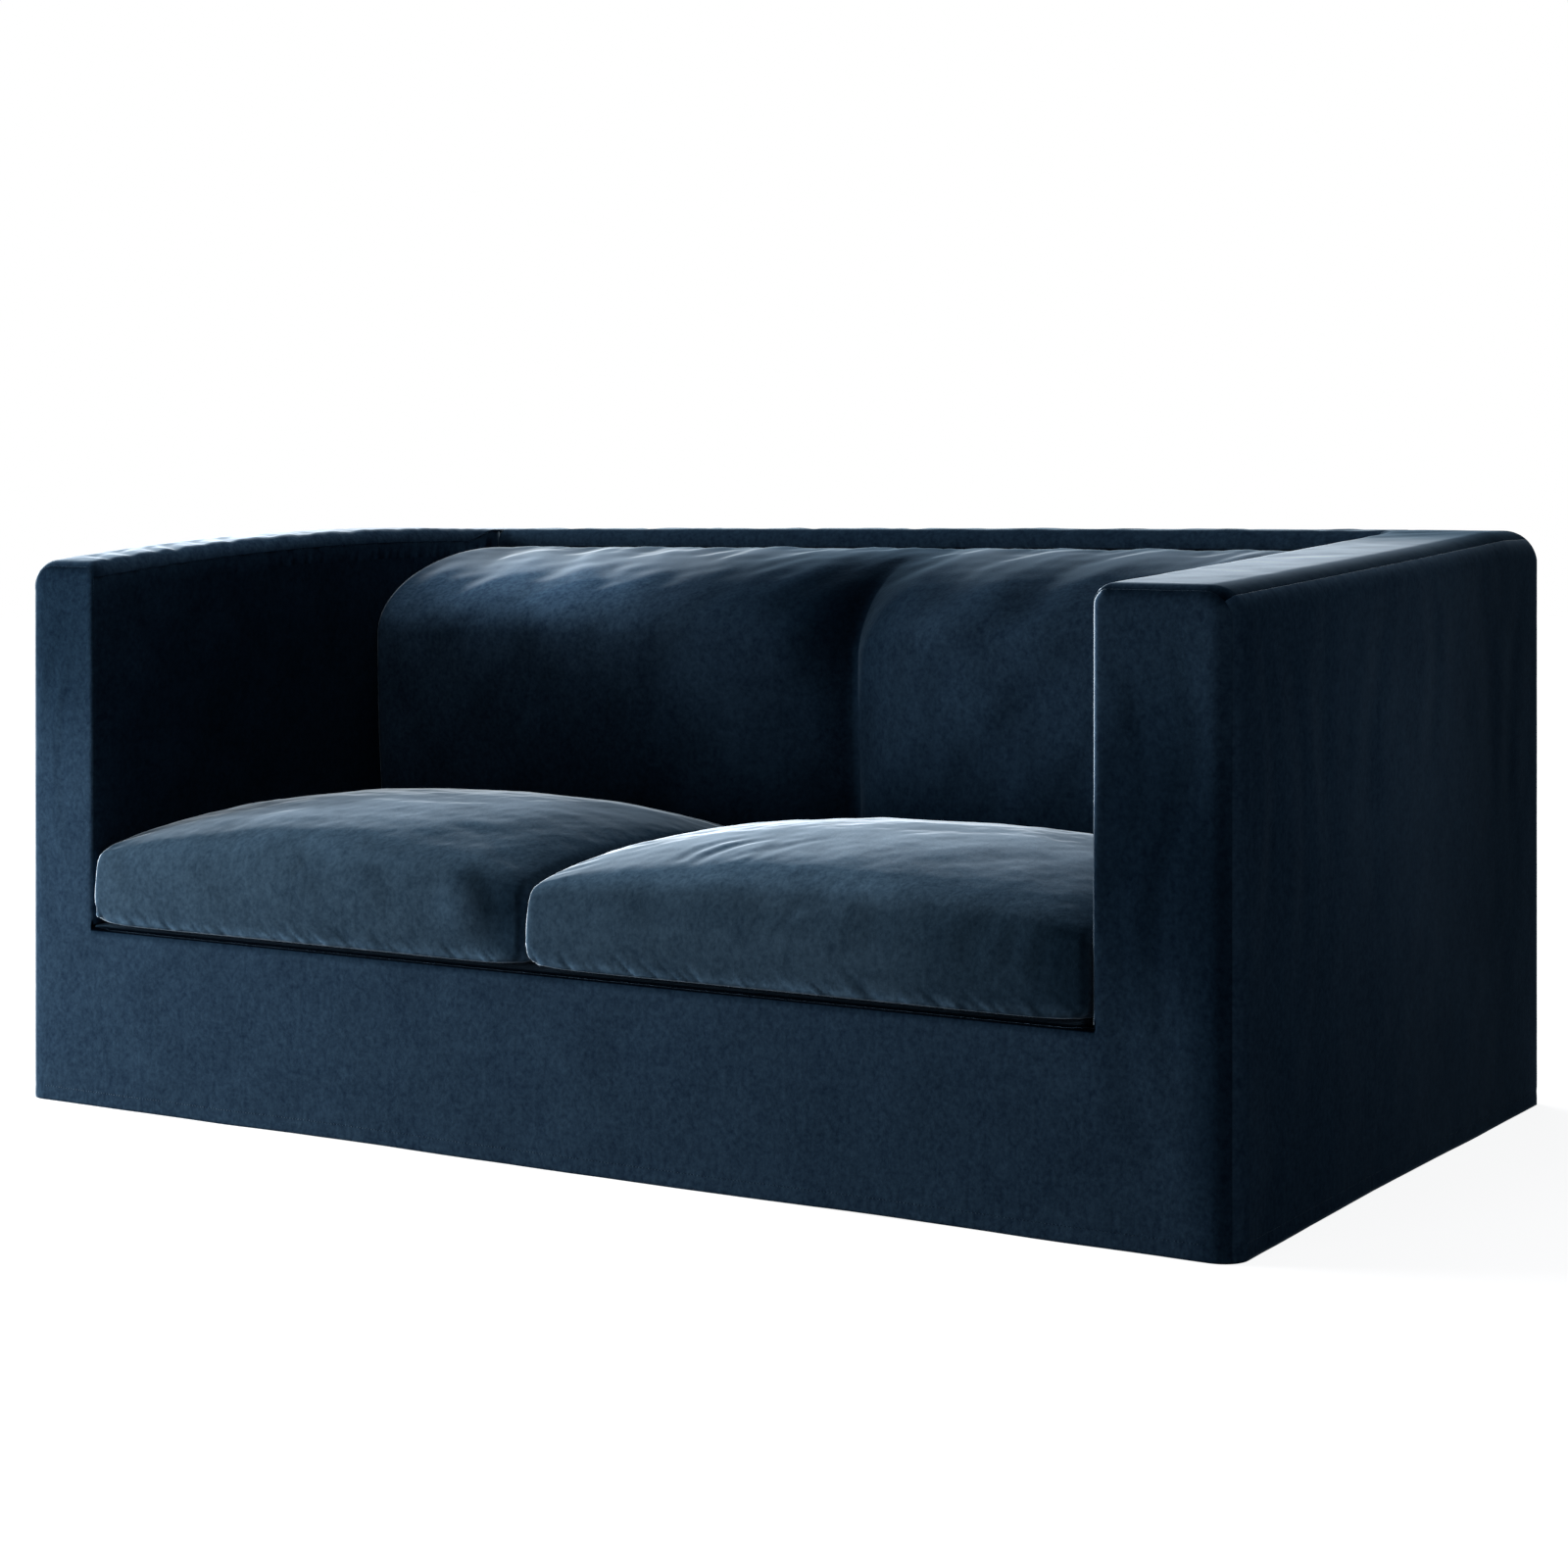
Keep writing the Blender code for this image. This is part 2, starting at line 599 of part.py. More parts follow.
def seat_cushion(side):
    """A filled cushion: boxed sides, round edges, a crowned top and a flat underside."""
    at_arm = INNER_X[side] - OUTWARD[side] * CUSHION_SIDE_GAP
    at_split = CUSHION_SPLIT_X + OUTWARD[side] * CUSHION_SIDE_GAP / 2
    front = FRONT + CUSHION_FRONT_INSET
    rear = BAND_Y - PAD_REACH - CUSHION_BACK_GAP
    centre = Vector(((at_arm + at_split) / 2, (front + rear) / 2, RAIL_HEIGHT + GAP))
    half = Vector((abs(at_arm - at_split) / 2, (rear - front) / 2, CUSHION_SIDE_HEIGHT / 2))
    lines = [lattice_lines(h, CUSHION_ROUND, count) for h, count in zip(half, CUSHION_CELLS)]

    def place(key):
        sharp = Vector([line[n] for line, n in zip(lines, key)])
        core = Vector([min(max(v, CUSHION_ROUND - h), h - CUSHION_ROUND) for v, h in zip(sharp, half)])
        point = core + (sharp - core).normalized() * CUSHION_ROUND
        level = (point.z + half.z) / (2 * half.z)
        u, v = point.x / half.x, point.y / half.y
        ridge_u = 1 - min(abs(u), 1.0) ** CROWN_POWER
        ridge_v = 1 - min(abs(v), 1.0) ** CROWN_POWER
        belly = 4 * level * (1 - level)
        point.x += u * abs(u) ** 3 * ridge_v * (CUSHION_SIDE_SWELL * belly - CUSHION_DRAW_IN)
        point.y += v * abs(v) ** 3 * ridge_u * (CUSHION_FRONT_SWELL * belly - CUSHION_DRAW_IN)
        crown = RIDGE_RISE * (ridge_u + ridge_v) + CROWN_RISE * ridge_u * ridge_v
        corner = CUSHION_CORNER_LIFT * abs(u * v) ** CUSHION_CORNER_POWER
        point.z += half.z + level * crown + (1 - level) * corner
        return point + centre

    last = [len(line) - 1 for line in lines]
    number = {}
    faces = []
    for axis in range(3):
        first, second = [n for n in range(3) if n != axis]
        for at in (0, last[axis]):
            for p in range(last[first]):
                for q in range(last[second]):
                    face = []
                    for dp, dq in ((0, 0), (1, 0), (1, 1), (0, 1)):
                        key = [0, 0, 0]
                        key[axis], key[first], key[second] = at, p + dp, q + dq
                        face.append(number.setdefault(tuple(key), len(number)))
                    faces.append(face if (at > 0) == (axis != 1) else face[::-1])
    return add_object("seat_cushion_" + side, [place(key) for key in number], faces, CUSHION_VELVET)


def main():
    for obj in list(bpy.data.objects):
        bpy.data.objects.remove(obj, do_unlink=True)
    front_panel()
    back_panel()
    back_top()
    inside_back()
    seat_deck()
    for side in ("left", "right"):
        side_panel(side)
        arm_top(side)
        inside_arm(side)
        seat_cushion(side)


main()
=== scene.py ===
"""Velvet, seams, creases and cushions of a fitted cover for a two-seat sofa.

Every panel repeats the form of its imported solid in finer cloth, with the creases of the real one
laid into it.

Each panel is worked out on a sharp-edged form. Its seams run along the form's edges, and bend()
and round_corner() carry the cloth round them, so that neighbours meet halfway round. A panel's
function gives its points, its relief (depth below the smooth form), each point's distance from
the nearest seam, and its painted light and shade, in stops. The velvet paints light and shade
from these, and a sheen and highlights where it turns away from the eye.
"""

import math
from functools import partial

import bpy
import numpy as np
from bpy.props import FloatProperty, FloatVectorProperty, IntProperty, PointerProperty
from mathutils.kdtree import KDTree
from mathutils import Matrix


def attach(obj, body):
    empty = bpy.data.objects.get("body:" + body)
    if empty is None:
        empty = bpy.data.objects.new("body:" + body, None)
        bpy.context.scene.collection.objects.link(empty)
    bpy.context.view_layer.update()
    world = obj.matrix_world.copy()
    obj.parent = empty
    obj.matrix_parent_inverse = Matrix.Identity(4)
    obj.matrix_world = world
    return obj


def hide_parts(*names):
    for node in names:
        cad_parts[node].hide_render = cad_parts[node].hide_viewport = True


bl_info = {
    "name": "Fitted sofa cover",
    "version": (1, 0, 0),
    "blender": (4, 5, 0),
    "location": "3D View > Sidebar > Sofa cover",
    "description": "Builds the cloth panels, cushions, velvet and stage of a fitted sofa cover",
    "category": "Object",
}

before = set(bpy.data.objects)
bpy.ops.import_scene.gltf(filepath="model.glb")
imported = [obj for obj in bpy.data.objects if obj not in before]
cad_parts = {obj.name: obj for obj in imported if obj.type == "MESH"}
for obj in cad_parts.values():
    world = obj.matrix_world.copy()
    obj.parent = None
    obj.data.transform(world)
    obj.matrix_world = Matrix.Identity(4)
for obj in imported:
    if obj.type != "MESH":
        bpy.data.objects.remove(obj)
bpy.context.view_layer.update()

# Overall form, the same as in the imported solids. Arm heights: front, halfway, beside the back
WIDTH = 1.706
DEPTH = 0.990
RAIL_HEIGHT = 0.233
BACK_TOP_DEPTH = 0.116
ARM_THICKNESS = {"left": 0.120, "right": 0.166}
ARM_HEIGHTS = {"left": (0.700, 0.730, 0.729), "right": (0.700, 0.7195, 0.741)}
BACK_MIDDLE_HEIGHT = 0.736
GAP = 0.0003
HEM_LIFT = 0.0025
HEM_WAVE_X = (8.3, 1.1)
HEM_WAVE_Y = (5.1, 0.4)

# Radii of the edges
OUTER_EDGE = 0.038
CORNER_EDGE = {"front": 0.030, "back": 0.018}
FRONT_TOP_EDGE = 0.020
ARM_INNER_EDGE = 0.020
OPENING_EDGE = 0.008
BAND_EDGE = 0.020

# Band under the back's top, padding with its two lobes, and deck
BAND_DROP = 0.026
PAD_REACH = 0.310
PAD_SHOULDER = 0.115
PAD_TUCK = 0.022
VALLEY_SHIFT = 0.055
LOBE_POWER = 4
VALLEY_DROP = 0.24
LOBE_END_DROP = 0.05
ROLL_FADE = (0.080, 0.008)
BESIDE_BACK_DROP = 0.003
ARM_LAP = 0.004
DECK_LAP = 0.008
LIP_TURN = 0.0040

# Cushions
CUSHION_SPLIT_X = -0.050
CUSHION_SIDE_GAP = 0.0008
CUSHION_FRONT_INSET = -0.006
CUSHION_BACK_GAP = 0.006
CUSHION_SIDE_HEIGHT = 0.096
CUSHION_ROUND = np.array([0.008, 0.006, 0.006])
CUSHION_TOP_ROUND = np.array([0.007, 0.024, 0.024])
CUSHION_FRONT_SWELL = 0.010
CUSHION_SIDE_SWELL = 0.004
CUSHION_DRAW_IN = 0.004
CUSHION_CORNER_LIFT = 0.012
CUSHION_CORNER_POWER = 12
CUSHION_LATTICE = 0.012
RIDGE_RISE = 0.031
CROWN_RISE = 0.008
CROWN_POWER = 2.3
LEFT_FULLNESS = 0.010

FRONT = -DEPTH / 2
BACK = DEPTH / 2
BAND_Y = BACK - BACK_TOP_DEPTH
BAND_END = BACK_TOP_DEPTH + BAND_DROP - GAP
FOOT = RAIL_HEIGHT + GAP
OUTER_X = {"left": -WIDTH / 2, "right": WIDTH / 2}
INNER_X = {side: math.copysign(WIDTH / 2 - ARM_THICKNESS[side], OUTER_X[side]) for side in OUTER_X}
OUTWARD = {"left": -1, "right": 1}
ROLL_START, ROLL_END = (BAND_Y - distance for distance in ROLL_FADE)

# Grid of the cloth: rows by a seam, where the next ones start, and levels by the hem
NEAR_SEAM = (0.00015, 0.0010, 0.0022, 0.0038)
NEXT_ROWS = 0.0055
HEM_LEVELS = np.array([0.0, 0.006, 0.014])

# Sewing: width of the turn at a seam, distance by which a round seam turns less, and the
# groove of the hem's stitches with the step and the lift of their line
SEAM_WIDTH = 0.0034
SEAM_EASE = 0.005
GROOVE_DEPTH = 0.0005
GROOVE_WIDTH = 0.003
STITCH_STEP = 0.004
STITCH_LIFT = -0.0002
SEAM_HEIGHT = 0.7
BETWEEN_ARMS = 1.42
INSIDE_ARM_LENGTH = 0.9

# Puckers along each seam: seed, share of the pucker depth, pitch, reach, lean
PUCKERS = {
    "side_top_left": (21, 0.35, 0.022, 0.016, 0.0),
    "side_top_right": (22, 0.35, 0.022, 0.016, 0.0),
    "side_end_left": (31, 0.30, 0.030, 0.016, 0.0),
    "side_end_right": (32, 0.30, 0.030, 0.016, 0.0),
    "rail": (31, 0.80, 0.022, 0.016, 0.0),
    "arm_front": (32, 0.08, 0.016, 0.016, 0.0),
    "front_corner": (33, 0.40, 0.030, 0.016, 0.0),
    "back_upper": (34, 0.35, 0.022, 0.016, 0.0),
    "back_corner": (35, 0.30, 0.030, 0.016, 0.0),
    "arm_outer_left": (41, 0.35, 0.024, 0.016, 0.0),
    "arm_outer_right": (42, 0.35, 0.024, 0.016, 0.0),
    "arm_inner_left": (43, 2.00, 0.030, 0.040, 0.6),
    "arm_inner_right": (44, 0.15, 0.030, 0.040, 0.6),
    "arm_end_left": (45, 0.08, 0.018, 0.016, 0.0),
    "arm_end_right": (46, 0.08, 0.018, 0.016, 0.0),
    "back_rear": (51, 0.35, 0.024, 0.016, 0.0),
    "band": (52, 2.20, 0.021, 0.020, -0.5),
    "padding": (53, 1.20, 0.023, 0.035, 0.0),
    "inside_arm_left": (61, 1.30, 0.022, 0.016, 0.0),
    "inside_arm_right": (62, 1.30, 0.022, 0.016, 0.0),
    "cushion_lip_left": (91, 3.20, 0.020, 0.014, -0.9),
    "cushion_lip_right": (92, 3.20, 0.020, 0.014, -0.9),
    "cushion_ridge_left": (92, 2.40, 0.022, 0.012, -0.9),
    "cushion_ridge_right": (93, 2.40, 0.022, 0.012, -0.9),
}

# Relief between the seams: share that shows, then seed, wavelength and height of the unevenness
PANEL_RELIEF = {
    "side_panel_left": (0.22, 11, 0.16, 0.0010),
    "side_panel_right": (0.22, 12, 0.16, 0.0010),
    "front_panel": (0.70, 13, 0.14, 0.0008),
    "back_panel": (0.60, 14, 0.18, 0.0010),
    "arm_top_left": (0.70, 15, 0.09, 0.0006),
    "arm_top_right": (0.25, 16, 0.09, 0.0006),
    "back_top": (1.00, 17, 0.12, 0.0006),
    "inside_back": (1.00, 18, 0.13, 0.0014),
    "inside_arm_left": (1.00, 19, 0.14, 0.0010),
    "inside_arm_right": (1.00, 20, 0.14, 0.0010),
    "seat_deck": (1.00, 23, 0.20, 0.0004),
}
# Octave and share of each layer of the unevenness, waves in a layer, and what evens them out
UNEVEN_LAYERS = ((1.0, 0.6), (2.1, 0.28), (4.3, 0.12))
WAVES_IN_LAYER = 5
WAVE_SUM = 2.2

# How far from a seam the relief is back to its full depth
SEAM_CLEAR = 0.012
TOP_CLEAR = 0.050
FRONT_TOP_CLEAR = 0.030
# Shares of the seam depth on the front, on the arms' tops and round the padding
FRONT_SEAM_SHARE = 0.8
ARM_SEAM_SHARE = 0.7
PAD_SEAM_SHARE = 5.0
# The rail's lip and the deck's front turn in between the arms, and carry a painted shadow there
LIP_DEPTH = 0.007
DECK_LIP_DEPTH = 0.012
LIP_FADE = (0.004, 0.030)
LIP_SHADE = (0.005, 0.009)
LIP_SIDE = 0.004
# Padding: its length over one unit of t, and the shares of its creases
PAD_TURN = 0.34
MAIN_CREASE_SHARE = 0.55
PAD_CREASE_SHARE = 0.3

# Troughs that hang from the top edge to the hem
# panel, place along the panel, width, depth at the hem, lean over the full height
HANGING_FOLDS = (
    ("side_panel_right", -0.405, 0.050, 0.0050, 0.020),
    ("side_panel_right", -0.300, 0.060, 0.0035, 0.035),
    ("side_panel_right", -0.130, 0.080, 0.0030, -0.020),
    ("side_panel_right", 0.120, 0.090, 0.0035, 0.030),
    ("side_panel_right", 0.330, 0.070, 0.0030, -0.030),
    ("side_panel_left", -0.360, 0.060, 0.0035, 0.020),
    ("side_panel_left", -0.080, 0.080, 0.0030, -0.030),
    ("side_panel_left", 0.240, 0.080, 0.0035, 0.020),
    ("front_panel", -0.560, 0.090, 0.0020, 0.010),
    ("front_panel", -0.150, 0.120, 0.0020, -0.020),
    ("front_panel", 0.310, 0.110, 0.0020, 0.020),
    ("front_panel", 0.742, 0.036, 0.0025, 0.000),
    ("back_panel", -0.520, 0.110, 0.0040, 0.030),
    ("back_panel", -0.050, 0.130, 0.0035, -0.020),
    ("back_panel", 0.440, 0.110, 0.0040, 0.020),
)
FOLD_FADE = (0.35, 0.92)

# Creases that run down the padding from the band
# x at the band, width, depth, and how far x moves on the way to the padding's front
PAD_CREASES = (
    (-0.660, 0.045, 0.006, 0.050),
    (-0.540, 0.035, 0.007, 0.080),
    (-0.430, 0.030, 0.006, 0.090),
    (-0.300, 0.040, 0.007, 0.050),
    (-0.150, 0.035, 0.005, -0.060),
    (0.080, 0.035, 0.006, -0.070),
    (0.200, 0.040, 0.006, -0.060),
    (0.330, 0.035, 0.007, -0.050),
    (0.470, 0.045, 0.006, -0.080),
    (0.600, 0.040, 0.006, -0.050),
)
CREASE_START = 0.15
CREASE_FADE = (0.6, 1.3)
CREASE_CLEAR = 0.030

# Form of a crease: which way and how far it bows, where along it it starts and ends, and the
# place, width and share of the faint ridge on both sides of it
CREASE_SCATTER = 997
CREASE_BOW = 0.10
CREASE_IN = (-0.15, 0.30)
CREASE_OUT = (0.55, 1.15)
RIDGE_PLACE = 1.9
RIDGE_WIDTH = 0.9
RIDGE_SHARE = 0.35

# Small creases, laid on each panel in its own measure: from, to, half-width, depth.
# A negative depth is a ridge.
SMALL_CREASES = {
    # x, height
    "front_panel": (
        ((-0.806, 0.660), (-0.813, 0.320), 0.010, 0.0013),
        ((-0.784, 0.640), (-0.780, 0.180), 0.012, 0.0012),
        ((-0.760, 0.600), (-0.765, 0.300), 0.008, 0.0010),
        ((-0.835, 0.500), (-0.830, 0.100), 0.010, 0.0012),
        ((-0.640, 0.190), (-0.560, 0.060), 0.030, 0.0012),
        ((-0.330, 0.200), (-0.280, 0.040), 0.035, 0.0010),
        ((0.060, 0.205), (0.120, 0.050), 0.032, 0.0012),
        ((0.520, 0.200), (0.450, 0.060), 0.030, 0.0012),
        ((0.716, 0.640), (0.722, 0.360), 0.012, 0.0014),
        ((0.748, 0.600), (0.738, 0.240), 0.016, 0.0016),
        ((0.776, 0.670), (0.786, 0.420), 0.012, 0.0012),
        ((0.800, 0.520), (0.794, 0.140), 0.014, 0.0018),
        ((0.728, 0.300), (0.760, 0.080), 0.018, 0.0014),
    ),
    # y, height
    "side_panel_right": (
        ((-0.440, 0.680), (-0.430, 0.300), 0.014, 0.0018),
        ((-0.360, 0.640), (-0.345, 0.200), 0.020, 0.0020),
        ((-0.240, 0.690), (-0.205, 0.340), 0.022, 0.0018),
        ((-0.060, 0.680), (-0.090, 0.300), 0.026, 0.0016),
        ((0.080, 0.690), (0.060, 0.420), 0.020, 0.0014),
        ((0.240, 0.700), (0.290, 0.360), 0.024, 0.0018),
        ((0.420, 0.690), (0.400, 0.280), 0.020, 0.0018),
    ),
    "side_panel_left": (
        ((-0.430, 0.670), (-0.420, 0.320), 0.014, 0.0018),
        ((-0.250, 0.690), (-0.210, 0.300), 0.022, 0.0018),
        ((0.020, 0.700), (-0.010, 0.360), 0.024, 0.0016),
        ((0.200, 0.690), (0.230, 0.380), 0.022, 0.0016),
        ((0.400, 0.690), (0.390, 0.260), 0.020, 0.0018),
    ),
    # x, height
    "back_panel": (
        ((-0.760, 0.690), (-0.740, 0.300), 0.022, 0.0020),
        ((-0.400, 0.700), (-0.360, 0.380), 0.026, 0.0016),
        ((-0.180, 0.690), (-0.200, 0.420), 0.022, 0.0014),
        ((0.160, 0.700), (0.200, 0.360), 0.026, 0.0016),
        ((0.560, 0.695), (0.540, 0.340), 0.024, 0.0018),
        ((0.790, 0.690), (0.770, 0.280), 0.020, 0.0020),
    ),
    # distance from the outer edge, y
    "arm_top_left": (
        ((0.120, -0.452), (0.040, -0.410), 0.007, 0.0022),
        ((0.124, -0.415), (0.034, -0.350), 0.009, 0.0026),
        ((0.118, -0.362), (0.050, -0.312), 0.006, 0.0018),
        ((0.126, -0.330), (0.030, -0.252), 0.010, 0.0028),
        ((0.116, -0.268), (0.048, -0.214), 0.007, 0.0018),
        ((0.124, -0.222), (0.036, -0.138), 0.010, 0.0024),
        ((0.114, -0.150), (0.050, -0.090), 0.008, 0.0016),
        ((0.122, -0.098), (0.040, -0.006), 0.012, 0.0022),
        ((0.118, 0.010), (0.046, 0.088), 0.012, 0.0018),
        ((0.120, 0.130), (0.052, 0.190), 0.014, 0.0016),
        ((0.110, 0.250), (0.060, 0.310), 0.014, 0.0014),
    ),
    "arm_top_right": (
        ((0.030, -0.330), (0.120, -0.250), 0.020, 0.0012),
        ((0.130, -0.100), (0.050, -0.020), 0.022, 0.0012),
        ((0.040, 0.120), (0.120, 0.200), 0.022, 0.0014),
        ((0.150, 0.240), (0.070, 0.330), 0.018, 0.0016),
        ((0.140, 0.330), (0.060, 0.400), 0.014, 0.0018),
    ),
    # x, distance from the rear edge
    "back_top": (
        ((-0.660, 0.030), (-0.610, 0.090), 0.010, 0.0016),
        ((-0.520, 0.020), (-0.480, 0.092), 0.010, 0.0018),
        ((-0.400, 0.034), (-0.372, 0.090), 0.008, 0.0014),
        ((-0.230, 0.024), (-0.180, 0.094), 0.012, 0.0018),
        ((-0.060, 0.030), (-0.030, 0.088), 0.010, 0.0014),
        ((0.130, 0.090), (0.180, 0.026), 0.012, 0.0018),
        ((0.290, 0.088), (0.330, 0.034), 0.009, 0.0014),
        ((0.440, 0.092), (0.480, 0.024), 0.011, 0.0018),
        ((0.590, 0.090), (0.632, 0.030), 0.010, 0.0016),
    ),
    # y, height
    "inside_arm_left": (
        ((-0.420, 0.660), (-0.330, 0.540), 0.018, 0.0016),
        ((-0.240, 0.690), (-0.160, 0.560), 0.020, 0.0018),
        ((-0.060, 0.680), (-0.020, 0.500), 0.022, 0.0016),
        ((-0.300, 0.500), (-0.180, 0.420), 0.024, 0.0014),
    ),
    "inside_arm_right": (
        ((-0.420, 0.650), (-0.340, 0.520), 0.018, 0.0016),
        ((-0.220, 0.680), (-0.150, 0.540), 0.020, 0.0018),
        ((-0.040, 0.680), (0.000, 0.500), 0.022, 0.0016),
    ),
    # x, distance down the padding from the band
    "inside_back": (
        ((-0.700, 0.030), (-0.610, 0.170), 0.012, 0.0032),
        ((-0.610, 0.010), (-0.520, 0.150), 0.013, 0.0036),
        ((-0.580, 0.050), (-0.500, 0.210), 0.018, -0.0026),
        ((-0.480, 0.005), (-0.380, 0.170), 0.013, 0.0042),
        ((-0.415, 0.040), (-0.320, 0.210), 0.016, 0.0034),
        ((-0.350, 0.010), (-0.300, 0.140), 0.010, 0.0026),
        ((-0.250, 0.005), (-0.215, 0.180), 0.014, 0.0038),
        ((-0.190, 0.030), (-0.200, 0.200), 0.012, 0.0028),
        ((-0.100, 0.005), (-0.160, 0.160), 0.012, 0.0032),
        ((-0.030, 0.010), (-0.070, 0.260), 0.020, 0.0060),
        ((0.020, 0.020), (-0.040, 0.150), 0.010, 0.0024),
        ((0.110, 0.005), (0.050, 0.190), 0.013, 0.0036),
        ((0.160, 0.040), (0.110, 0.230), 0.016, -0.0026),
        ((0.250, 0.005), (0.180, 0.180), 0.013, 0.0038),
        ((0.300, 0.020), (0.250, 0.130), 0.010, 0.0026),
        ((0.390, 0.005), (0.310, 0.200), 0.014, 0.0042),
        ((0.430, 0.050), (0.370, 0.220), 0.016, -0.0024),
        ((0.520, 0.005), (0.440, 0.180), 0.013, 0.0036),
        ((0.560, 0.030), (0.510, 0.170), 0.011, 0.0028),
        ((0.650, 0.005), (0.590, 0.160), 0.012, 0.0034),
        ((-0.560, 0.420), (-0.380, 0.520), 0.030, 0.0034),
        ((-0.260, 0.400), (-0.130, 0.560), 0.028, 0.0030),
        ((0.120, 0.430), (0.260, 0.540), 0.030, 0.0032),
        ((0.480, 0.400), (0.360, 0.560), 0.028, 0.0030),
    ),
}

# Creases of the cushions, on the front (x, height) and on the top (x, y)
CUSHION_CREASES = {
    "left": {
        "front": (
            ((-0.130, 0.352), (-0.085, 0.300), 0.026, 0.0038),
            ((-0.090, 0.315), (-0.120, 0.255), 0.024, 0.0032),
            ((-0.560, 0.330), (-0.470, 0.285), 0.022, 0.0009),
            ((-0.400, 0.340), (-0.330, 0.290), 0.020, 0.0010),
            ((-0.690, 0.330), (-0.650, 0.280), 0.016, 0.0009),
            ((-0.280, 0.350), (-0.240, 0.270), 0.018, 0.0010),
        ),
        "top": (
            ((-0.250, -0.440), (-0.120, -0.300), 0.030, 0.0022),
            ((-0.560, -0.400), (-0.420, -0.330), 0.030, 0.0024),
            ((-0.380, -0.250), (-0.240, -0.330), 0.034, 0.0026),
            ((-0.640, -0.220), (-0.480, -0.160), 0.036, 0.0026),
            ((-0.130, -0.180), (-0.260, -0.080), 0.036, 0.0028),
        ),
    },
    "right": {
        "front": (
            ((0.080, 0.345), (0.150, 0.290), 0.020, 0.0022),
            ((0.240, 0.350), (0.290, 0.300), 0.018, 0.0018),
            ((0.420, 0.350), (0.400, 0.285), 0.020, 0.0022),
            ((0.560, 0.340), (0.540, 0.280), 0.014, 0.0022),
            ((0.600, 0.335), (0.585, 0.285), 0.010, 0.0018),
            ((0.640, 0.330), (0.630, 0.270), 0.012, 0.0022),
        ),
        "top": (
            ((0.130, -0.450), (0.165, -0.330), 0.010, 0.0022),
            ((0.160, -0.455), (0.200, -0.340), 0.009, 0.0024),
            ((0.195, -0.450), (0.225, -0.350), 0.009, 0.0020),
            ((0.230, -0.450), (0.270, -0.330), 0.010, 0.0022),
            ((0.420, -0.400), (0.520, -0.300), 0.028, 0.0024),
            ((0.020, -0.380), (0.080, -0.240), 0.026, 0.0022),
            ((0.300, -0.240), (0.440, -0.160), 0.034, 0.0026),
            ((0.560, -0.220), (0.480, -0.100), 0.034, 0.0026),
        ),
    },
}

# Soft patches of painted light and shade, in the measures of SMALL_CREASES, but with
# the padding's own t (0 band, 1 front, 2 seat): centre, half-widths, stops
PAINTED_LIGHT = {
    "front_panel": (
        ((-0.79, 0.640), (0.090, 0.150), -1.2),
        ((-0.79, 0.420), (0.080, 0.130), -0.1),
        ((0.750, 0.500), (0.100, 0.330), -0.4),
        ((0.750, 0.420), (0.100, 0.150), -1.1),
        ((0.840, 0.200), (0.040, 0.260), -1.2),
        ((0.560, 0.080), (0.260, 0.160), -0.2),
    ),
    "side_panel_left": (),
    "side_panel_right": (
        ((-0.050, 0.520), (0.300, 0.260), 0.5),
        ((0.400, 0.450), (0.180, 0.450), -0.7),
    ),
    "arm_top_left": (((0.050, -0.250), (0.100, 0.300), 0.9),),
    "arm_top_right": (
        ((0.110, -0.200), (0.090, 0.480), 0.8),
        ((0.090, 0.400), (0.140, 0.170), -2.2),
    ),
    "back_top": (((0.0, 0.125), (0.80, 0.035), -0.3), ((0.0, 0.040), (0.90, 0.080), -1.3)),
    "inside_arm_left": (((0.0, 0.450), (0.600, 0.400), -2.2),),
    "inside_arm_right": (((0.0, 0.450), (0.600, 0.400), -1.0),),
    "inside_back": (
        ((-0.520, 0.600), (0.260, 0.420), 1.9),
        ((-0.060, 0.500), (0.160, 0.400), -1.3),
        ((0.030, 0.600), (0.080, 0.600), -1.7),
        ((0.300, 0.500), (0.200, 0.400), -0.5),
        ((0.0, 0.0), (0.900, 0.100), -1.2),
        ((0.0, 1.500), (0.900, 0.450), -0.6),
        ((0.0, 1.850), (0.900, 0.350), -1.5),
    ),
}
CUSHION_PAINTED_LIGHT = {
    "left": {
        "front": (
            ((-0.130, 0.345), (0.034, 0.022), -0.7),
            ((-0.092, 0.322), (0.030, 0.032), -0.8),
            ((-0.086, 0.285), (0.026, 0.034), -0.8),
            ((-0.056, 0.300), (0.024, 0.200), -1.1),
        ),
        "top": (
            ((-0.360, -0.350), (0.280, 0.180), 0.5),
            ((-0.090, -0.150), (0.150, 0.240), -0.2),
            ((-0.052, -0.440), (0.030, 0.120), -0.8),
        ),
    },
    "right": {
        "front": (
            ((0.680, 0.300), (0.055, 0.120), -1.2),
            ((0.590, 0.300), (0.120, 0.160), -0.7),
            ((0.300, 0.330), (0.350, 0.030), -0.2),
        ),
        "top": (
            ((0.250, -0.300), (0.420, 0.280), 1.2),
            ((0.690, -0.400), (0.060, 0.250), -1.2),
        ),
    },
}
PATCH_POWER = 1.4

# Length of cloth over one unit of level on the sides and back, the rail, the arms and inside them
SIDE_SPAN = 0.66
RAIL_SPAN = 0.22
ARM_SPAN = 0.43
INSIDE_SPAN = 0.75
# Hem's stitches: how far from the middle they reach, and the height over which levels run
HEMS = {
    "side_panel": (BACK - 0.03, 0.70 - OUTER_EDGE),
    "back_panel": (0.82, 0.73 - OUTER_EDGE),
    "front_panel": (0.815, RAIL_HEIGHT - OPENING_EDGE),
}
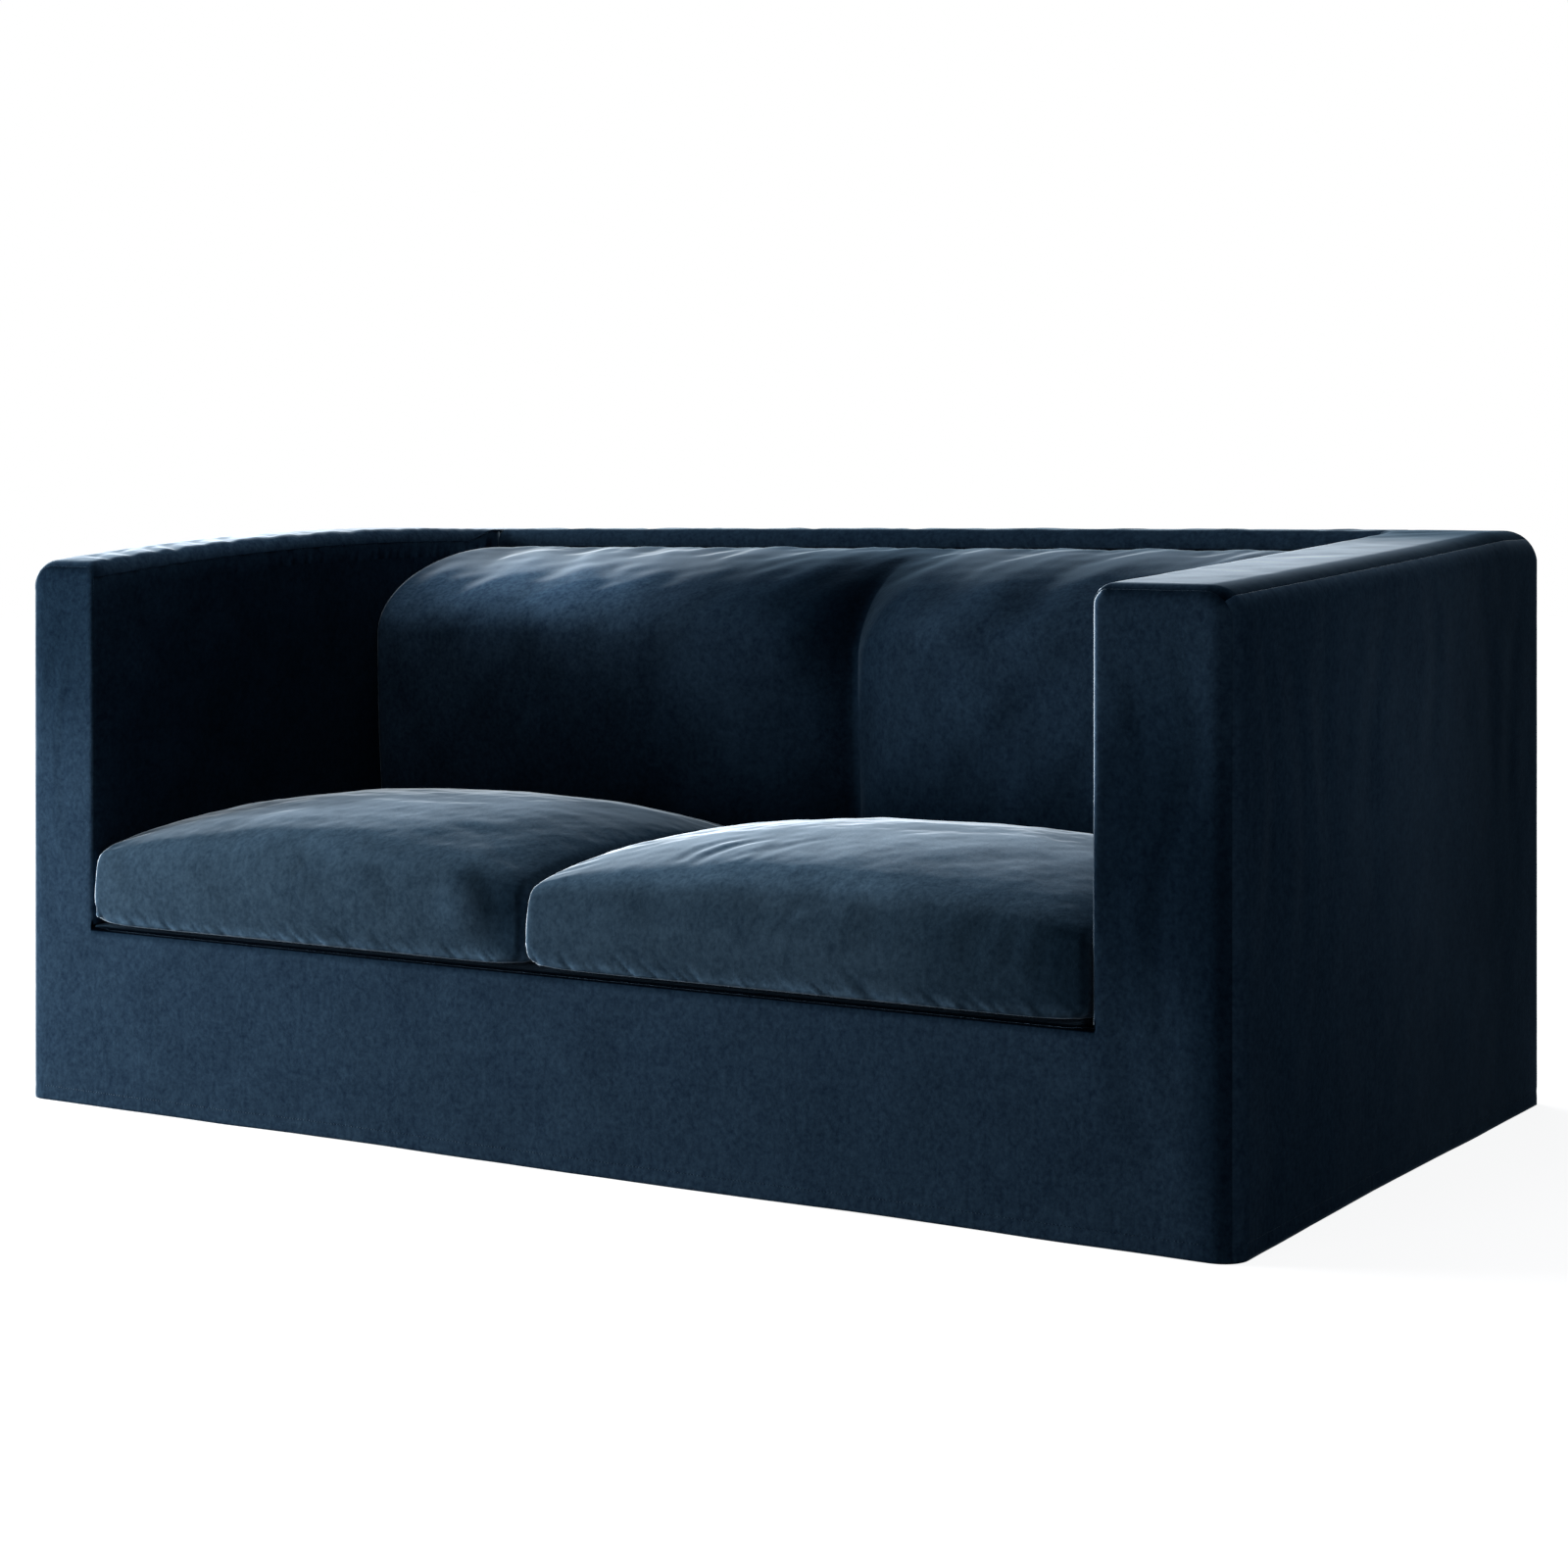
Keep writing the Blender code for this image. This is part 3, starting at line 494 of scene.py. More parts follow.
# Width of the close rows beside the seams between the arms, room beside the padding, and
# the deck's grid
BY_SEAM = 0.014
PAD_CLEAR = 0.0001
DECK_PITCH = 0.02

# Cushions: where their rounder top starts, the step of the seam's path, how near a lattice
# point is to a face to count as on it, and the seam's reach
TOP_ROUND_FADE = (-0.3, 0.5)
SEAM_STEP = 0.0045
ON_FACE = 0.99
FRONT_INSET_SHARE = 0.4
SEAM_REACH = 0.012
CUSHION_FRONT_SHARE = {"left": 1.0, "right": 0.5}
CUSHION_TOP_SHARE = 0.5
CUSHION_UNEVEN = {
    "left": {"broad": (71, 0.13, 0.0008), "fine": (76, 0.045, 0.0005)},
    "right": {"broad": (72, 0.13, 0.0008), "fine": (77, 0.045, 0.0005)},
}

# Painted light and shade along an edge: stops, a painted highlight above 0 and painted shade
# below, and how wide it lies. Then where it starts and ends
SIDE_TOP_HIGHLIGHT = (0.8, 0.014)
FRONT_TOP_SHADE = (-1.2, 0.012)
FRONT_TOP_FADE = (0.006, 0.020)
ARM_EDGE_HIGHLIGHT = (4.0, 0.006)
ARM_EDGE_FADE = (0.38, 0.50)
ARM_END_SHADE = (-1.6, 0.012)
RIGHT_INNER_HIGHLIGHT = (2.4, 0.005)
RIGHT_INNER_FADE = (-0.10, 0.25)
RIGHT_OUTER_SHADE = (-1.2, 0.022)
CUSHION_LIP_HIGHLIGHT = (0.9, 0.010)
CUSHION_END_HIGHLIGHT = (2.7, 0.006)
# Painted shade in the cushions' puckers with painted highlight on their ridges, painted shadow on
# the rail's lip and on the deck under the cushions, and the stitches' own darker tone
PUCKER_SHADE = -450.0
LIP_SHADOW = -6.0
DECK_SHADOW = -5.0
STITCH_NAP = -1.0

# What the velvet reads for its painted highlight on ridges and painted shade in creases and at
# seams: depth of relief that counts as full, the width of a seam's shade, and the stitches' relief,
# which paints them a little lighter
FULL_RELIEF = 0.004
SEAM_SHADE = 0.006
CUSHION_SEAM_SHADE = 0.004
STITCH_RELIEF = 0.3

# Velvet. Shares and bands of its noise: cloudy patches, streaks along the pile, fine grain
CLOUDY = (0.16, (0.36, 0.66))
STREAKS = (0.34, (0.34, 0.66))
GRAIN = (0.46, (0.32, 0.68))
STREAK_SCALE = (95.0, 95.0, 80.0)
GRAIN_SCALE = 190.0
PILE_SCALE = 1100.0
ROUGHNESS = (0.96, 0.78)
BUMP = {"Strength": 0.35, "Distance": 0.0012}
# How the stops of painted light and shade change red, green and blue: which one counts, darker,
# lighter
PAINTED_LIGHT_TONES = (("MINIMUM", 1.2, 1.03), ("MINIMUM", 1.0, 1.0), ("MAXIMUM", 0.9, 0.98))
# Painted shade at the seams
SEAM_DARKENING = 0.12
# Facing at which the painted sheen at the rim and the painted highlight at the outline start, then
# the stops over which painted highlight lines take the edge colour, and their greatest share
PAINTED_SHEEN_FACING = (0.60, 1.0)
OUTLINE_HIGHLIGHT_FACING = (0.87, 1.0)
HIGHLIGHT_LINE_STOPS = (1.8, 3.6)
HIGHLIGHT_LINE_SHARE = 0.85

# Filling: how near to the seam, the underside and the ends it is held, and the cloth over it
HELD_BY_SEAM = 0.008
HELD_AT_FOOT = 0.004
HELD_AT_ENDS = 0.012
FILLING = {
    "tension_stiffness": 8.0,
    "compression_stiffness": 8.0,
    "bending_stiffness": 0.4,
    "mass": 0.25,
}

# Stage. Lights: name, place, target, sides, property with its power, colour
WARM, COOL, NEUTRAL = (1.0, 0.99, 0.975), (0.80, 0.92, 1.0), (1.0, 1.0, 1.0)
LIGHTS = (
    ("key_light", (-2.3, -1.6, 0.8), (-0.2, -0.4, 0.3), (1.0, 1.2), "key_power", WARM),
    ("rim_light", (-2.1, 1.6, 2.3), (0.0, 0.0, 0.4), (1.8, 1.2), "rim_power", NEUTRAL),
    ("over_light", (-0.3, 0.3, 2.8), (0.0, 0.0, 0.4), (2.4, 1.6), "over_power", NEUTRAL),
    ("side_light", (3.6, -0.4, 1.3), (0.8, -0.05, 0.45), (1.4, 1.0), "side_power", COOL),
    ("front_light", (0.3, -3.6, 1.2), (0.0, 0.0, 0.4), (2.0, 1.4), "front_power", NEUTRAL),
)
AMBIENT_COLOUR = (0.75, 0.88, 1.0, 1)
FLOOR_RADIUS = 14
FLOOR_CORNERS = 64
FLOOR_DROP = 0.0005
FLOOR_MOTTLE = 1.03
# The floor glows to the camera alone: distance from the middle, and how strongly
GLOW_REACH = (1.2, 4.0)
GLOW = (0.90, 1.0)

# Camera, worked out from the photo's vanishing points
CAMERA_PLACE = (2.1454, -3.5141, 0.8194)
CAMERA_TURN = 31.32
CAMERA_LENS = 72.63
CAMERA_SENSOR = 36.0
CAMERA_SHIFT = -0.2003
CAMERA_REACH = 60.0


def length(name, description, default, least, most):
    """A length in metres for a property group."""
    return FloatProperty(
        name=name, description=description, default=default, min=least, max=most, unit="LENGTH"
    )


def factor(name, description, default):
    """A share from 0 to 1 for a property group."""
    return FloatProperty(
        name=name, description=description, default=default, min=0.0, max=1.0, subtype="FACTOR"
    )


def strength(name, description, default, most=2000.0):
    """A power in watts, or another strength, for a property group."""
    return FloatProperty(name=name, description=description, default=default, min=0.0, max=most)


def steps(name, description, default, least):
    """A small whole number for a property group."""
    return IntProperty(name=name, description=description, default=default, min=least, max=60)


def colour(name, description, default):
    """A colour for a property group."""
    return FloatVectorProperty(
        name=name,
        description=description,
        default=default,
        size=3,
        min=0.0,
        max=1.0,
        subtype="COLOR",
    )


class CoverSizes(bpy.types.PropertyGroup):
    """Sizes of the cloth and of its sewing."""

    cloth_thickness: length("Cloth thickness", "Velvet with its lining", 0.0028, 0.001, 0.006)
    cloth_pitch: length("Cloth pitch", "Distance between a panel's points", 0.0075, 0.004, 0.03)
    seam_depth: length("Seam depth", "How far the cloth turns in at a seam", 0.0004, 0.0, 0.004)
    pucker_depth: length("Pucker depth", "Depth of puckers along the seams", 0.0008, 0.0, 0.004)
    hem_height: length("Hem height", "Height of the hem's stitches", 0.018, 0.005, 0.05)
    stitch_pitch: length("Stitch pitch", "From one stitch to the next", 0.0044, 0.002, 0.02)
    stitch_length: length("Stitch length", "Length of a stitch", 0.0032, 0.001, 0.02)
    fold_share: factor("Fold depth", "Share of their full depth that the folds take", 0.18)
    thread_radius: length("Thread radius", "Half the thread's thickness", 0.00035, 0.0001, 0.001)


class CushionSizes(bpy.types.PropertyGroup):
    """Sizes of the cushions' filling."""

    voxel: length("Filling voxel", "Size of the even mesh that swells", 0.007, 0.005, 0.02)
    inset: length("Starting inset", "How much lower the cushion starts", 0.0075, 0.0, 0.02)
    swell_cap: length("Greatest swell", "How far the filling may move a point", 0.006, 0.0, 0.03)
    pressure: strength("Filling pressure", "Pressure of the filling on the cover", 3.0, 20.0)
    frames: steps("Swelling steps", "Frames of the filling's simulation", 20, 1)
    softness: steps("Edge softness", "How often the edges are smoothed before that", 3, 0)


class VelvetFinish(bpy.types.PropertyGroup):
    """Colours and nap of the velvet, its sheen, and its painted sheen and highlight."""

    shade: colour("Velvet shade", "Velvet seen into the nap", (0.0085, 0.0190, 0.0380))
    lit: colour("Velvet light", "Velvet with its nap to the light", (0.0260, 0.0520, 0.0850))
    # The cushions' colours are the velvet's made lighter: painted light on the cushions.
    cushion_shade: colour("Cushion shade", "Cushions seen into the nap", (0.0150, 0.0310, 0.0520))
    cushion_lit: colour("Cushion light", "Cushions with nap to the light", (0.0380, 0.0690, 0.1040))
    sheen_tint: colour("Sheen tint", "Colour of the velvet's sheen", (0.40, 0.66, 1.0))
    # Painted sheen and highlight: the rim colour is mixed in where the velvet turns away from the
    # eye, the near-white edge colour at its outline and along the painted highlight lines, and rim
    # is how far the rim colour goes.
    painted_sheen_colour: colour("Rim colour", "Velvet that turns away from the eye", (0.26, 0.33, 0.40))
    painted_highlight_colour: colour("Edge colour", "Velvet whose pile stands upright", (0.76, 0.86, 0.95))
    rim: factor("Rim", "How far the velvet takes the rim colour", 0.8)
    sheen: factor("Sheen", "Strength of the velvet's sheen", 0.12)
    sheen_roughness: factor("Sheen roughness", "Spread of the velvet's sheen", 0.32)


class StageLook(bpy.types.PropertyGroup):
    """Floor and lights."""

    floor_colour: colour("Floor colour", "Colour of the floor", (0.36, 0.37, 0.39))
    key_power: strength("Key light", "Watts of the soft light at the left", 98.0)
    rim_power: strength("Rim light", "Watts of the soft light above and behind", 50.0)
    over_power: strength("Overhead light", "Watts of the soft light overhead", 24.0)
    side_power: strength("Side light", "Watts of the weak light at the right", 9.0)
    front_power: strength("Front light", "Watts of the weak light in front", 16.0)
    ambient: strength("Ambient light", "Light that comes from all round", 0.03, 2.0)


def smoothstep(start, end, value):
    """0 before start, 1 after end, and a smooth rise between them."""
    t = np.clip((value - start) / (end - start), 0.0, 1.0)
    return t * t * (3 - 2 * t)


def falloff(distance, width):
    """1 at no distance, and a smooth fall to 0 on both sides."""
    return np.exp(-((distance / width) ** 2))


def through_three(values, t):
    """The parabola that takes the three values at t = 0, 1/2 and 1."""
    first, middle, last = values
    return first * (1 - t) * (1 - 2 * t) + 4 * middle * t * (1 - t) + last * t * (2 * t - 1)


def run(start, end, pitch):
    """Even stations from start to end, both included."""
    count = max(1, math.ceil(abs(end - start) / pitch))
    return np.linspace(start, end, count + 1)


def edge_run(end, pitch=0.0042):
    """Distances from a seam, close together where the cloth turns in."""
    return np.concatenate([NEAR_SEAM, run(NEXT_ROWS, end, pitch)])


def stations(start, end, pitch, first, last):
    """Stations from start to end, at the first distances from one and the last from the other."""
    middle = run(start + first[-1], end - last[-1], pitch)
    return np.concatenate([start + first[:-1], middle, end - last[-2::-1]])


def arm_height(side, y):
    return through_three(ARM_HEIGHTS[side], np.minimum((y - FRONT) / (BAND_Y - FRONT), 1.0))


def back_height(x):
    """Height of the back's top: the arms' own heights beside them, and a parabola between."""
    ends = ARM_HEIGHTS["left"][2], ARM_HEIGHTS["right"][2]
    t = (x - INNER_X["left"]) / (INNER_X["right"] - INNER_X["left"])
    return through_three((ends[0], BACK_MIDDLE_HEIGHT, ends[1]), np.clip(t, 0.0, 1.0))


def hem_height(x, y):
    """The hem touches the floor in places and lifts a little between them."""
    wave_x = np.sin(HEM_WAVE_X[0] * x + HEM_WAVE_X[1])
    wave_y = np.cos(HEM_WAVE_Y[0] * y + HEM_WAVE_Y[1])
    return HEM_LIFT * np.maximum(0.0, wave_x * wave_y)


def hanging_fold(panel, along, height, top):
    """Depth of the panel's troughs. They fade towards the top seam."""
    low = 1 - smoothstep(*FOLD_FADE, height / top)
    depth = np.zeros(np.broadcast(along, height).shape)
    for name, place, width, hem_depth, lean in HANGING_FOLDS:
        if name == panel:
            depth += hem_depth * low * falloff(along - place - lean * height / top, width)
    return depth


def crease_depth(creases, a, b):
    """Depth of the listed creases: each is a bowed trough with a faint ridge on both sides of it.
    """
    depth = np.zeros(np.broadcast(a, b).shape)
    for (a0, b0), (a1, b1), width, full in creases:
        da, db = a1 - a0, b1 - b0
        length = math.hypot(da, db)
        t = ((a - a0) * da + (b - b0) * db) / length**2
        way = 1 if (a0 + b1) * CREASE_SCATTER % 2 > 1 else -1
        bow = CREASE_BOW * length * np.sin(math.pi * np.clip(t, 0, 1)) * way
        offset = (((a - a0) * db - (b - b0) * da) / length - bow) / width
        taper = smoothstep(*CREASE_IN, t) * (1 - smoothstep(*CREASE_OUT, t))
        ridge = falloff(np.abs(offset) - RIDGE_PLACE, RIDGE_WIDTH)
        depth += full * taper * (falloff(offset, 1.0) - RIDGE_SHARE * ridge)
    return depth


def patches(laid, a, b):
    """Painted light and shade, in stops, from the listed soft patches."""
    total = np.zeros(np.broadcast(a, b).shape)
    for (a0, b0), (half_a, half_b), stops in laid:
        away = ((a - a0) / half_a) ** 2 + ((b - b0) / half_b) ** 2
        total += stops * np.exp(-(away**PATCH_POWER))
    return total


def painted_edge_light(lies, distance):
    """Painted light along an edge, in stops: a highlight above 0 and shade below."""
    stops, width = lies
    return stops * falloff(distance, width)


def unevenness(a, b, seed, wavelength, height):
    """Shallow, irregular hollows, the same on every run."""
    rng = np.random.default_rng(seed)
    total = np.zeros(np.broadcast(a, b).shape)
    for octave, share in UNEVEN_LAYERS:
        for _ in range(WAVES_IN_LAYER):
            angle = rng.uniform(0, 2 * math.pi)
            turns = 2 * math.pi * octave / wavelength * rng.uniform(0.7, 1.3)
            phase = rng.uniform(0, 2 * math.pi)
            place = a * math.cos(angle) + b * math.sin(angle)
            total += share / WAVE_SUM * np.sin(turns * place + phase)
    return height * total


def own_relief(panel, a, b, clear, crease_share=1.0):
    """Relief of a panel's creases and unevenness, as far as it is clear of the seams."""
    share, *uneven = PANEL_RELIEF[panel]
    creases = crease_share * crease_depth(SMALL_CREASES.get(panel, ()), a, b)
    return share * clear * (creases + unevenness(a, b, *uneven))


def puckers(seam, along, away, length, sizes):
    """Short uneven puckers that start at a seam and fade out away from it."""
    seed, share, pitch, reach, lean = PUCKERS[seam]
    rng = np.random.default_rng(seed)
    total = np.zeros(np.broadcast(along, away).shape)
    place = rng.uniform(0.2, 1.0) * pitch
    while place < length:
        width = pitch * rng.uniform(0.16, 0.34)
        depth = share * sizes.pucker_depth * rng.uniform(0.25, 1.0)
        far = reach * rng.uniform(0.6, 1.7)
        slant = lean + rng.uniform(-0.25, 0.25)
        near = np.abs(along - place) < 6 * width + abs(slant) * 4 * far
        near = near & (away < 4 * far)
        if near.any():
            s = np.broadcast_to(along, near.shape)[near]
            d = np.broadcast_to(away, near.shape)[near]
            total[near] += depth * falloff(s - place - slant * d, width) * falloff(d, far)
        place += pitch * rng.uniform(0.5, 1.7)
    return total


def seam_turn(away, depth):
    """How far the cloth turns in at a distance from its seam."""
    return depth * falloff(away, SEAM_WIDTH)


def stitch_groove(above_hem, sizes):
    """The groove that the hem's stitches pull into the cloth."""
    return GROOVE_DEPTH * falloff(above_hem - sizes.hem_height, GROOVE_WIDTH)


def bend(from_edge, radius, depth):
    """Carry a face round one of its edges.

    from_edge is the distance from the sharp edge, on the face. The result is the rounded
    distance from the neighbouring face, and the distance below this one.
    """
    turn = np.arctan2(np.maximum(radius - from_edge, 0.0), radius)
    inside = from_edge < radius
    reach = radius - depth
    return (
        np.where(inside, radius - reach * np.sin(turn), from_edge),
        np.where(inside, radius - reach * np.cos(turn), depth),
    )


def inside_corner(a, b, radius):
    """Distance inside an outline whose two edges lie a and b away and meet in a round corner."""
    straight = (a >= radius) | (b >= radius)
    return np.where(straight, np.minimum(a, b), radius - np.maximum(radius - a, radius - b))


def round_corner(a, b, radius, inset):
    """The place of that point, at the given distance inside the rounded outline."""
    turned = (a < radius) & (b < radius)
    reach = np.maximum(np.hypot(radius - a, radius - b), 1e-9)
    first = radius - (radius - inset) * (radius - a) / reach
    second = radius - (radius - inset) * (radius - b) / reach
    return (
        np.where(turned, first, np.where(a <= b, inset, a)),
        np.where(turned, second, np.where(a <= b, b, inset)),
    )


def corner_blend(a, b, radius, value_a, value_b):
    """value_a on the first edge, value_b on the second, and a mix round the corner."""
    turned = (a < radius) & (b < radius)
    share = (radius - b) / np.maximum(2 * radius - a - b, 1e-9)
    mixed = value_a + (value_b - value_a) * share
    return np.where(turned, mixed, np.where(a <= b, value_a, value_b))


def rounded_face(a, b, corner, edge_a, edge_b, depth):
    """Carry a face round two edges that meet in a round corner.

    a and b are the distances from the edges. The result is the distance inside the outline, the
    rounding there, the new a and b, and the distance below the face.
    """
    inside = inside_corner(a, b, corner)
    radius = corner_blend(a, b, corner, edge_a, edge_b)
    inset, down = bend(inside, radius, depth)
    return inside, radius, *round_corner(a, b, corner, inset), down


def outline_point(side, a, b, inset):
    """(x, z offset from the top) of a point by an arm's outer top corner."""
    across, down = round_corner(a, b, OUTER_EDGE, inset)
    return OUTER_X[side] - OUTWARD[side] * across, -down


def by_end(y):
    """Whether y is in the front half, how far that end is, and the roundings there."""
    in_front = y < (FRONT + BACK) / 2
    return (
        in_front,
        np.where(in_front, y - FRONT, BACK - y),
        np.where(in_front, CORNER_EDGE["front"], CORNER_EDGE["back"]),
        np.where(in_front, FRONT_TOP_EDGE, OUTER_EDGE),
    )


def by_arm(x):
    """The way out at x, and the outer and the inner face of the arm on that side."""
    left = x < 0
    return (
        np.where(left, -1.0, 1.0),
        np.where(left, OUTER_X["left"], OUTER_X["right"]),
        np.where(left, INNER_X["left"], INNER_X["right"]),
    )


def from_arms(x):
    """Distance from the nearer arm's inner face."""
    return np.minimum(x - INNER_X["left"], INNER_X["right"] - x)


def below_top(level, top, hem):
    """Distance below the top, where level is 0 at the hem, 1 under the edge and 2 at its seam."""
    under = top - hem - (top - OUTER_EDGE - hem) * level
    return np.where(level <= 1, under, OUTER_EDGE * (2 - level))


def stack(x, y, z):
    """Points from three arrays of one shape."""
    x, y, z = np.broadcast_arrays(x, y, z)
    return np.stack([x, y, z], axis=-1)


def side_points(side, y, level, sizes, depth=0.0):
    """Outside of an arm. level is 0 at the hem, 1 under the rounded top edge and 2 at its seam."""
    name = "side_panel_" + side
    top = arm_height(side, y)
    hem = hem_height(OUTER_X[side], y)
    below = below_top(level, top, hem)
    in_front, from_end, corner, edge = by_end(y)
    height = top - below
    away = np.minimum(from_end, below) + SEAM_EASE
    fade = smoothstep(0.0, OUTER_EDGE, from_end)
    relief = sizes.fold_share * fade * hanging_fold(name, y, height, top)
    relief = relief + own_relief(name, y, height, fade * smoothstep(0, TOP_CLEAR, below))
    relief = relief + puckers("side_top_" + side, y - FRONT, below, DEPTH, sizes)
    relief = relief + puckers("side_end_" + side, height, from_end, SEAM_HEIGHT, sizes)
    depth = depth + relief + seam_turn(away, sizes.seam_depth) + stitch_groove(height - hem, sizes)
    at_face = np.zeros_like(below)
    radius = corner_blend(at_face, below, OUTER_EDGE, corner, edge)
    along, inset = bend(from_end, radius, depth)
    x, drop = outline_point(side, at_face, below, inset)
    points = stack(x, np.where(in_front, FRONT + along, BACK - along), top + drop)
    # Painted light and shade from the listed patches, and a painted highlight along the rounded top
    # edge.
    return points, relief, away, patches(PAINTED_LIGHT[name], y, height) + painted_edge_light(SIDE_TOP_HIGHLIGHT, below)


def front_points(x, level, sizes, depth=0.0):
    """Front of the arms and the rail.

    level is 0 at the hem, 1 and 2 round the rail's edge, 3 under an arm's top edge, 4 at its seam.
    """
    out, outer_x, inner_x = by_arm(x)
    top = np.where(x < 0, arm_height("left", FRONT), arm_height("right", FRONT))
    hem = hem_height(x, FRONT)
    z = hem + (RAIL_HEIGHT - OPENING_EDGE - hem) * level
    z = np.where(level > 1, RAIL_HEIGHT - OPENING_EDGE * (2 - level), z)
    z = np.where(level > 2, RAIL_HEIGHT + (top - OUTER_EDGE - RAIL_HEIGHT) * (level - 2), z)
    z = np.where(level > 3, top - OUTER_EDGE * (4 - level), z)
    outer = np.abs(outer_x - x)
    inner = out * (x - inner_x)
    below = top - z
    from_lip = RAIL_HEIGHT - z
    on_arm = inner > 0
    away = np.minimum(outer, below) + SEAM_EASE
    away = np.where(on_arm & (z > RAIL_HEIGHT), np.minimum(away, inner), away)
    by_corner = np.minimum(away, np.hypot(np.maximum(inner, 0), np.maximum(from_lip, 0)))
    away = np.where(z <= RAIL_HEIGHT, by_corner, away)

    # An arm's top and the rail's lip count only in their own columns, so elsewhere they are far
    arm_top = np.where(on_arm, below, 1.0)
    rail_top = np.where(on_arm, 1.0, from_lip)
    fade = smoothstep(0.0, OUTER_EDGE, outer)
    clear = fade * smoothstep(0, FRONT_TOP_CLEAR, arm_top) * smoothstep(0.0, SEAM_CLEAR, away)
    along = x - OUTER_X["left"]
    relief = sizes.fold_share * fade * hanging_fold("front_panel", x, z, top)
    relief = relief + own_relief("front_panel", x, z, clear)
    relief = relief + puckers("rail", along, rail_top, WIDTH, sizes)
    relief = relief + puckers("arm_front", along, arm_top, WIDTH, sizes)
    relief = relief + puckers("front_corner", z, outer, SEAM_HEIGHT, sizes)
    turn = seam_turn(away, FRONT_SEAM_SHARE * sizes.seam_depth)
    lip = LIP_TURN * falloff(from_lip, LIP_DEPTH) * smoothstep(*LIP_FADE, -inner)
    depth = depth + relief + turn + stitch_groove(z - hem, sizes) + lip

    edges = CORNER_EDGE["front"], FRONT_TOP_EDGE
    inside, _, across, drop, down = rounded_face(outer, below, OUTER_EDGE, *edges, depth)
    near_edge = inside < OUTER_EDGE
    outer_case = stack(
        np.where(near_edge, outer_x - out * across, x),
        FRONT + down,
        np.where(near_edge, top - drop, z),
    )

    below_rail, rail_down = bend(from_lip, OPENING_EDGE, depth)
    rail_case = stack(x, FRONT + rail_down, RAIL_HEIGHT - below_rail)

    edges = OPENING_EDGE, FRONT_TOP_EDGE
    inside, radius, across, drop, down = rounded_face(inner, below, ARM_INNER_EDGE, *edges, depth)
    under_rail = z < RAIL_HEIGHT
    near_edge = inside < np.where(under_rail, radius, ARM_INNER_EDGE)
    inner_z = np.where(under_rail, RAIL_HEIGHT - below_rail, top - drop)
    inner_case = stack(
        np.where(near_edge, inner_x + out * across, x),
        FRONT + down,
        np.where(near_edge, inner_z, z),
    )

    points = stack(x, FRONT + depth, z)
    on_rail = (inner <= 0) & (z > RAIL_HEIGHT - OPENING_EDGE)
    by_opening = (inner > 0) & (z > RAIL_HEIGHT - OPENING_EDGE / 2)
    points = np.where(on_rail[..., None], rail_case, points)
    points = np.where(by_opening[..., None], inner_case, points)
    points = np.where((inner > outer)[..., None], outer_case, points)

    # Painted light and shade: the listed patches, a painted highlight on the right arm's inner
    # edge, painted shade along the arms' rolled top edges, and a painted shadow on the rail's lip
    # under the cushions.
    nap = patches(PAINTED_LIGHT["front_panel"], x, z)
    nap = nap + painted_edge_light(ARM_EDGE_HIGHLIGHT, inner) * smoothstep(*ARM_EDGE_FADE, z) * (x > 0)
    nap = nap + painted_edge_light(FRONT_TOP_SHADE, below) * smoothstep(*FRONT_TOP_FADE, inner)
    on_lip = (inner < LIP_SIDE) & (from_lip > -LIP_SIDE)
    nap = nap + LIP_SHADOW * (1 - smoothstep(*LIP_SHADE, from_lip)) * on_lip
    return points, relief, away, nap


def back_points(x, level, sizes, depth=0.0):
    """Outside back, with level as on the arms' outsides."""
    out, outer_x, _ = by_arm(x)
    top = back_height(x)
    hem = hem_height(x, BACK)
    below = below_top(level, top, hem)
    outer = np.abs(outer_x - x)
    height = top - below
    away = np.minimum(outer, below) + SEAM_EASE
    fade = smoothstep(0.0, OUTER_EDGE, outer)
    relief = sizes.fold_share * fade * hanging_fold("back_panel", x, height, top)
    relief = relief + own_relief("back_panel", x, height, fade * smoothstep(0, TOP_CLEAR, below))
    relief = relief + puckers("back_upper", x - OUTER_X["left"], below, WIDTH, sizes)
    relief = relief + puckers("back_corner", height, outer, SEAM_HEIGHT, sizes)
    depth = depth + relief + seam_turn(away, sizes.seam_depth) + stitch_groove(height - hem, sizes)
    edges = CORNER_EDGE["back"], OUTER_EDGE
    inside, _, across, drop, inward = rounded_face(outer, below, OUTER_EDGE, *edges, depth)
    near_edge = inside < OUTER_EDGE
    points = stack(
        np.where(near_edge, outer_x - out * across, x),
        BACK - inward,
        np.where(near_edge, top - drop, height),
    )
    return points, relief, away, 0.0


def arm_roll(y):
    """1 where the arm's inner edge is round, 0 beside the back, where the tops are level."""
    return 1 - smoothstep(ROLL_START, ROLL_END, y)


def arm_seam(side, y):
    """Height at which the inside of an arm meets its top."""
    roll = arm_roll(y)
    return arm_height(side, y) - ARM_INNER_EDGE * roll - BESIDE_BACK_DROP * (1 - roll) - GAP


